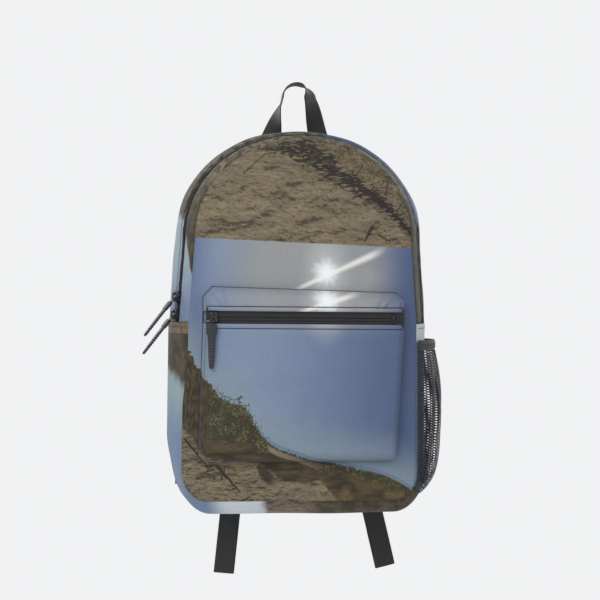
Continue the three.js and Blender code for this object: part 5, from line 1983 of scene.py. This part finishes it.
@dataclass(frozen=True)
class CarryHandle:
    """A loop of webbing: flat behind the back, then twisted on edge over the hook."""

    hook: float = 16.0
    thick: float = 1.6
    foot: float = -82.5
    spread: float = 34.0
    back: float = 13.0
    right_edge_on: float = 2.1
    left_edge_on: float = 0.86

    @staticmethod
    def twist(u: Array, end: float) -> Array:
        """Turn of a strand: its width seen from the front shrinks evenly from 0.27 of the way up, to 0 at `end`."""
        share = np.clip((u - 0.27) / (end - 0.27), 0, 1)
        return np.arccos(np.clip(1 - share**1.15, 0, 1))

    def build(self) -> None:
        """Each strand rises from its foot, leans forward and twists by a quarter turn; a half circle joins them."""
        radius = self.hook + self.thick / 2
        u = np.linspace(0, 1, 56)
        level = np.clip((u - 1 / 3) * 1.5, 0, 1)
        smooth = ease(level, 0, 1)
        reach = self.spread + (radius - self.spread) * u
        right = stack(reach, self.back * (1 - smooth), self.foot + (-self.hook - self.foot) * u)
        left = right[::-1] * np.array([-1, 1, 1])
        a = np.linspace(0, np.pi, 44)[1:-1]
        loop = stack(radius * np.cos(a), 0 * a, radius * np.sin(a) - self.hook)
        right_turn, left_turn = (self.twist(u, end) for end in (self.right_edge_on, self.left_edge_on))
        loop_turn = right_turn[-1] + (np.pi / 2 - right_turn[-1]) * ease(a, 0.0, 1.3)
        side = stack(np.cos(right_turn), np.sin(right_turn), 0 * u)
        left_side = stack(-np.cos(left_turn), np.sin(left_turn), 0 * u)[::-1]
        radial = stack(np.cos(a), 0 * a, np.sin(a))
        middle = radial * np.cos(loop_turn)[:, None] + np.array([0.0, 1.0, 0.0]) * np.sin(loop_turn)[:, None]
        line = np.concatenate([right, loop, left])
        across = np.concatenate([side, middle, left_side])
        settle(webbing("handle_webbing", line, across), Webbing(), "pack", "carry_handle")


@dataclass(frozen=True)
class ShoulderStrap:
    """A padded strap with its edge binding, webbing loop, ladder lock, tail and lower webbing."""

    side: int
    name: str
    lock: tuple[float, float, float]
    lean: float
    wide: float = 58.0
    end_wide: float = 40.0
    thick: float = 9.0
    lock_tall: float = 30.4
    head_z: float = -116.0
    tail_long: float = 132.0
    hem_long: float = 46.0

    def axes(self) -> tuple[Array, Array, Array]:
        """Directions up the lock, away from the bag, and across it."""
        lean = math.radians(self.lean) * self.side
        along = np.array([-math.sin(lean), 0.0, math.cos(lean)])
        out = np.array([0.0, 1.0, 0.0])
        return along, out, np.cross(along, out)

    def path(self) -> Array:
        """The middle of the pad: it bows away from the back and comes in again to the lock."""
        along, _, _ = self.axes()
        foot = np.array(self.lock) + along * (self.lock_tall / 2 + 10)
        head_x = self.side * 42
        bow = [(0, 0.02, 19), (0.12, 0.1, 32), (0.32, 0.3, 41), (0.55, 0.55, 42), (0.8, 0.83, 34), (1, 1, foot[1])]
        drop = self.head_z - foot[2]
        return spline([(head_x + (foot[0] - head_x) * over, y, self.head_z - drop * down) for down, over, y in bow], 90)

    def pad(self) -> None:
        """The foam pad, swollen between its bound edges."""
        line = self.path()
        share = np.linspace(0, 1, len(line)) ** 3
        scale = 1 + (self.end_wide / self.wide - 1) * share
        turn = np.linspace(0, 2 * np.pi, 48, endpoint=False)
        section = stack(signed_power(np.cos(turn), 0.5) * (self.wide / 2 - 2.0),
                            signed_power(np.sin(turn), 0.8) * (self.thick / 2 - 0.6))
        pad = sweep(f"strap_pad_{self.name}", line, section, (1, 0, 0), scale)
        inflate(pad, 4.0, 3.0, 1.6)
        smooth_once(pad)
        settle(pad, AirMesh(), "pack", f"shoulder_strap_{self.name}")
        for edge in (-1, 1):
            beside = line + np.array([1.0, 0, 0]) * (edge * (self.wide / 2 - 2.6) * scale)[:, None]
            bind = sweep(f"strap_binding_{self.name}_{'inner' if edge * self.side < 0 else 'outer'}", beside,
                         rounded(7.0, 5.6, 2.2), (1, 0, 0))
            settle(bind, EDGING)

    def lower(self) -> None:
        """The webbing loop round the lock's bar, the tail, and the webbing to the anchor."""
        along, out, wide = self.axes()
        lock = np.array(self.lock)
        head = self.lock_tall / 2
        bar = head - 1.6
        turn = np.linspace(0, np.pi, 22)
        arc = stack(3.4 * np.cos(turn), bar - 3.4 * np.sin(turn))
        arc = np.concatenate([[[3.4, head + 14], [3.4, head + 6]], arc, [[-3.4, head + 6], [-3.4, head + 14]]])
        line = lock + arc[:, :1] * out + arc[:, 1:] * along
        loop = webbing(f"lock_loop_{self.name}", spline(line, 80), wide)
        settle(loop, Webbing(), "pack", f"strap_loop_{self.name}")
        body = f"ladder_lock_{self.name}_body"
        start = lock - along * 2 + out * 5.3
        end = self.tail_long
        length = np.linspace(0, end, 90)
        wave = 0.8 * np.sin(length / 23.0) * ease(length, 10, 60)
        line = start - along * length[:, None] + out * wave[:, None]
        tail = webbing(f"tail_{self.name}", line, wide)
        turn = np.linspace(0, np.pi, 9)
        fold = stack(end + 1.2 * np.sin(turn), 0.9 - 0.9 * np.cos(turn))
        rest = stack(np.linspace(end, end - self.hem_long, 40)[1:], np.full(39, 1.8))
        path = np.concatenate([fold, rest])
        waved = np.interp(path[:, 0], length, wave)
        hem_line = start - along * path[:, :1] + out * (path[:, 1:] + waved[:, None])
        hem = webbing(f"tail_hem_{self.name}", hem_line, wide)
        settle(tail, Webbing(), body, f"strap_tail_{self.name}")
        settle(hem, Webbing(), body)
        near, far = end - 40.0, end - 4.0
        box = np.array([[near, -9.5], [near, 9.5], [far, 9.5], [far, -9.5], [near, -9.5]])
        down, over = circuit(box, 241)
        lift = 2.75 + np.interp(down, length, wave)
        line = start - along * down[:, None] + wide * over[:, None] + out * lift[:, None]
        row = stitches(f"tail_stitches_{self.name}_0", line, out, *BOX_STITCH)
        settle(row, Thread("webbing", ink(20, 20, 21)), body)
        anchor = np.array([self.side * 130.0, 15.6, SKIN.bottom + 34])
        edge = lock + (self.side * 21, -5.0, 1)
        points = [
            anchor + (self.side * 4.0, -0.6, -2.0), anchor + (-self.side * 10.0, 0, 5.0),
            (anchor * 0.4 + edge * 0.6) * (1, 0, 1) + (0, 17.9, 2.0), edge, lock + (self.side * 4, -4.4, -1),
        ]
        low = webbing(f"lower_webbing_{self.name}", spline(points, 70), np.array([self.side * 0.4, 0.0, 1.0]))
        settle(low, Webbing(), "pack", f"strap_lower_webbing_{self.name}")

    def build(self) -> None:
        """Makes the strap."""
        self.pad()
        self.lower()


# ---------------------------------------------------------------- back and inside


@dataclass(frozen=True)
class PaddedBack:
    """The back: foam under spacer mesh, sewn into six pads by channels, with a bound edge and a patch on top."""

    face: float = 11.8
    trim: float = 4.0
    thick: float = 11.2
    channel_deep: float = 4.2
    piping: float = 6.2

    def outline(self, s: Array, trim: float) -> Array:
        """Right half of the back's outline, moved in by `trim`."""
        line = SKIN.rim(s, np.ones_like(s))
        middle = np.array([0, 0, FRONT_MIDDLE])
        away = line - middle
        return middle + away * (1 - trim / np.linalg.norm(away, axis=1, keepdims=True))

    def channels(self, x: Array, z: Array) -> Array:
        """Share of the sewn channels' depth at a place: a spine, and two lines that slope down to it."""
        spine = bell(x, 6.0)
        slope = np.abs(x) * 0.18
        rows = bell(z + 232 + slope, 4.0) + bell(z + 362 + slope, 4.0)
        return np.clip(spine + rows, 0, 1) * ease(z, -484, -470) * ease(z, -84, -100)

    def build(self) -> None:
        """Makes the pad and its binding."""
        s = np.concatenate([np.linspace(0.03, 1, 40), np.linspace(1, 2, 40)[1:], np.linspace(2, 3, 12)[1:]])
        edge = self.outline(s, self.trim)
        share = np.sin(0.5 * np.pi * np.linspace(-1, 1, 71))
        x = edge[:, :1] * share
        z = np.broadcast_to(edge[:, 2:], x.shape)
        grid = stack(x, self.face - 1.2, z)
        pad = cloth("back_pad", grid, self.thick - 1.6, AHEAD)
        inflate(pad, 5.0, 3.0, 2.0)
        reshape(pad, self.sew)
        smooth_once(pad)
        settle(pad, AirMesh(pitch=4.2), "pack", "back_cover", "back_foam")
        right = self.outline(np.linspace(0.0, 4, 220), 3.2)
        left = (self.outline(np.linspace(4, 0.0, 220), 3.2) * (-1, 1, 1))[1:-1]
        self.tube("back_piping", np.concatenate([right, left]) + (0, self.piping, 0))

    def tube(self, name: str, ring: Array) -> None:
        """A closed band of cloth round the back's edge: an upright ellipse carried round the outline."""
        turn = np.linspace(0, 2 * np.pi, 14, endpoint=False)
        away = ring - (0, self.piping, FRONT_MIDDLE)
        away /= np.linalg.norm(away, axis=1, keepdims=True)
        points = ring[:, None] + away[:, None] * (2.4 * np.cos(turn))[None, :, None]
        points = points - FORWARD * (5.4 * signed_power(np.sin(turn), 0.7))[None, :, None]
        count = len(ring)
        face = grid_faces(count + 1, 14, ring=True) % (count * 14)
        piece = mesh_object(name, points.reshape(-1, 3), [face])
        turn_out(piece)
        settle(piece, PlainCloth("webbing", ink(40, 41, 44)))

    def sew(self, p: Array) -> Array:
        """Presses the channels into the outer face."""
        deep = self.channel_deep * self.channels(p[:, 0], p[:, 2]) * ease(p[:, 1], 4, 9)
        moved = p.copy()
        moved[:, 1] -= deep
        return moved


@dataclass(frozen=True)
class Inside:
    """Seam bindings, lining, back panel and the padded laptop sleeve, seen when the front is open."""

    under: float = 3.6
    binding: float = 1.4
    sleeve_half: float = 128.0
    sleeve_top: float = -215.0
    sleeve_foot: float = -498.0
    sleeve_round: float = 40.0
    sleeve_face: float = -10.6
    sleeve_thick: float = 4.8

    def band(self, name: str, ends: tuple[float, float], depth: tuple[float, float], under: float, thick: float,
             slack: float) -> Piece:
        """Cloth on the inner side of the skin, whose long edges curl inwards.

        Args:
            name: Name of the piece.
            ends: Distances along the outline, from and to; below minus half the round they run on from the left.
            depth: Y of its front and rear edges.
            under: Depth of its outer face below the skin.
            thick: Thickness.
            slack: Height of its wrinkles, all inwards.

        Returns:
            The mesh object.
        """
        u = np.linspace(*ends, int(abs(ends[1] - ends[0]) / 4) + 1)
        y = np.linspace(*depth, max(7, int((depth[1] - depth[0]) / 4)))
        uu, yy = np.meshgrid(u, y, indexing="ij")
        edge = np.minimum(yy - depth[0], depth[1] - yy)
        lift = -under - 0.3 * np.exp(-edge / 0.8) - slack * (0.5 + 0.5 * ripple(uu, yy, 36.0, 71)).clip(0, 1)
        grid = SKIN.point(SKIN.wrapped(uu), 1 + yy / SKIN.depth, lift)
        return sheet_on_skin(name, grid, thick, stack(uu, yy))

    def seams(self) -> None:
        """The bound seams round the back and the front, and the lining of the base."""
        join = SKIN.reach(SKIN.zip_end - 2)
        base = (join - 2 * SKIN.half_round, -join)
        arch, fold = SKIN.reach(SKIN.zip_end + 3), SKIN.reach(FOLD + 3)
        back, front = (-9.0, -3.0), (-102.0, -95.0)
        for name, ends, depth, body, node in (
            ("back_binding_arch", (-arch, arch), back, "pack", "rear_seam_tape"),
            ("back_binding_base", base, back, "pack", "rear_seam_tape_base"),
            ("front_binding_arch", (-fold, fold), front, "", "front_seam_tape_arch"),
            ("front_binding_base", base, front, "pack", "front_seam_tape_base"),
        ):
            settle(self.band(name, ends, depth, self.under, self.binding, 0.0), BINDING, body, node)
        lining = self.band("base_lining_cloth", base, (-94.0, -10.0), 2.4, 1.0, 1.4)
        settle(lining, LINING, "pack", "base_lining")

    def back(self) -> None:
        """The inner face of the back: the rear outline filled with rows, slightly slack."""
        s = np.concatenate([np.linspace(0.03, 1, 36), np.linspace(1, 2, 44)[1:], np.linspace(2, 3, 12)[1:]])
        edge = SKIN.rim(s, np.ones_like(s))
        x = edge[:, :1] * np.sin(0.5 * np.pi * np.linspace(-1, 1, 61))
        z = np.broadcast_to(edge[:, 2:], x.shape)
        y = 0.45 - 0.35 * (0.5 + 0.5 * ripple(x, z, 60.0, 72)).clip(0, 1) * ease(edge[:, :1] - np.abs(x), 8, 30)
        panel = cloth("back_lining", stack(x, y, z), 1.5, BEHIND, stack(x, z))
        settle(panel, LINING, "pack", "back_panel")

    def sleeve(self) -> None:
        """The laptop sleeve: a thin pad with rounded lower corners, its bound mouth and its strap."""
        bend = self.sleeve_foot + self.sleeve_round
        corner = self.sleeve_foot + self.sleeve_round * (1 - np.sin(np.linspace(0, 0.49 * np.pi, 16)))
        drop = np.concatenate([np.linspace(self.sleeve_top, bend, 50), corner[1:]])
        rise = np.clip((bend - drop) / self.sleeve_round, 0, 1)
        half = self.sleeve_half - 1.4 - self.sleeve_round * (1 - np.sqrt(1 - rise**2))
        x = half[:, None] * np.sin(0.5 * np.pi * np.linspace(-1, 1, 51))
        z = np.broadcast_to(drop[:, None], x.shape)
        face = stack(x, self.sleeve_face, z)
        pad = cloth("sleeve_pad", face, self.sleeve_thick, AHEAD)
        inflate(pad, 4.0, 2.0, 0.6)
        smooth_once(pad)
        settle(pad, PlainCloth("lining", ink(52, 56, 66), 1.2), "pack", "laptop_sleeve")
        x = np.linspace(-self.sleeve_half, self.sleeve_half, 90)
        mouth = stack(x, -13 + 0.25 * np.sin(x / 11.0), -211.6 + 0.3 * np.sin(x / 17.0))
        bind = sweep("sleeve_mouth_binding", mouth, rounded(7.4, 5.4, 2.2), (0, 1, 0))
        settle(bind, BINDING, "pack", "sleeve_binding")
        path = [(0, -2.4, -185), (0, -4, -194), (0, -13, -198), (0, -18.6, -205), (0, -18.6, -249)]
        strap = webbing("sleeve_strap_webbing", spline(path, 70), (1, 0, 0))
        settle(strap, Webbing(), "pack", "sleeve_strap")
        loop = np.array([[-9, -246], [9, -246], [9, -222], [-9, -222], [-9, -246]])
        x, z = circuit(loop, 161)
        line = stack(x, -19.5, z)
        row = stitches("sleeve_strap_stitches", line, FORWARD, *BOX_STITCH)
        settle(row, Thread("webbing", ink(70, 72, 78)))

    def build(self) -> None:
        """Makes what is seen when the front is open."""
        self.seams()
        self.back()
        self.sleeve()


@dataclass(frozen=True)
class SewnPatch:
    """A flat patch of webbing with soft edges, sewn down close to its outline."""

    name: str
    corners: tuple[tuple[float, float], tuple[float, float], tuple[float, float], tuple[float, float]]
    face: float
    node: str
    thick: float = 1.6
    margin: float = 3.0

    def build(self) -> None:
        """The four corners are joined by straight rows and columns; the edges roll down, and the middle is slack."""
        share = 0.5 - 0.5 * np.cos(np.linspace(0, np.pi, 41))
        a, b = np.meshgrid(share, share, indexing="ij")
        top_left, top_right, low_right, low_left = (np.array(c, float) for c in self.corners)
        flat = ((1 - a) * (1 - b))[..., None] * top_left + ((1 - a) * b)[..., None] * top_right
        flat = flat + (a * b)[..., None] * low_right + (a * (1 - b))[..., None] * low_left
        edge = np.minimum(np.minimum(a, 1 - a), np.minimum(b, 1 - b)) * 40
        slack = 0.25 * ripple(flat[..., 0], flat[..., 1], 14.0, 73) * ease(edge, 1, 5)
        y = self.face - 0.5 * np.exp(-edge / 0.9) + slack
        grid = stack(flat[..., 0], y, flat[..., 1])
        patch = cloth(self.name, grid, self.thick - 0.3, AHEAD, flat)
        settle(patch, EDGING, "pack", self.node)
        corners = np.array(self.corners, float)
        middle = corners.mean(axis=0)
        away = corners - middle
        inner = middle + away * (1 - self.margin * 1.4 / np.linalg.norm(away, axis=1, keepdims=True))
        x, z = circuit(np.concatenate([inner, inner[:1]]), 321)
        line = stack(x, self.face + 0.2, z)
        row = stitches(f"{self.name}_stitches", line, -FORWARD, *BOX_STITCH)
        settle(row, Thread("webbing", ink(58, 58, 62)))


def dress_node(node: Piece, finish: Finish) -> None:
    """Gives a CAD node's object a better material."""
    node.data.materials.clear()
    node.data.materials.append(finish.material())


def main() -> None:
    """Builds the daypack round its frame."""
    logging.basicConfig(level=logging.INFO, format="%(name)s: %(message)s", stream=sys.stdout)
    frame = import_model()
    left_strap = ShoulderStrap(-1, "left", (-68, 27, -463), 5.5)
    right_strap = ShoulderStrap(1, "right", (88, 27, -460), 13.7)
    for part in (Studio(), FrontPanel(), Gusset(), MainZip(), FrontPocket(), NetPocket(), CarryHandle(), PaddedBack(),
                 left_strap, right_strap, Inside()):
        part.build()
        log.info("%s is built", type(part).__name__)
    for node in ("pocket_slider", "pocket_pull_loop", "pocket_zip_stop", "main_slider_upper", "main_slider_lower",
                 "main_pull_loop_upper", "main_pull_loop_lower"):
        dress_node(frame["nodes"][node], DarkMetal())
    for node in ("ladder_lock_left", "ladder_lock_right"):
        dress_node(frame["nodes"][node], Moulded())
    SewnPatch("yoke_patch", ((-62, -87), (62, -87), (62, -113), (-62, -113)), 13.8, "strap_yoke").build()
    low = SKIN.bottom + 34
    for side, name in ((-1, "left"), (1, "right")):
        tab = ((side * 110, low + 12), (side * 142, low + 18), (side * 142, low - 12), (side * 120, low - 16))
        SewnPatch(f"anchor_patch_{name}", tab, 13.8, f"strap_anchor_{name}").build()


if __name__ == "__main__":
    main()
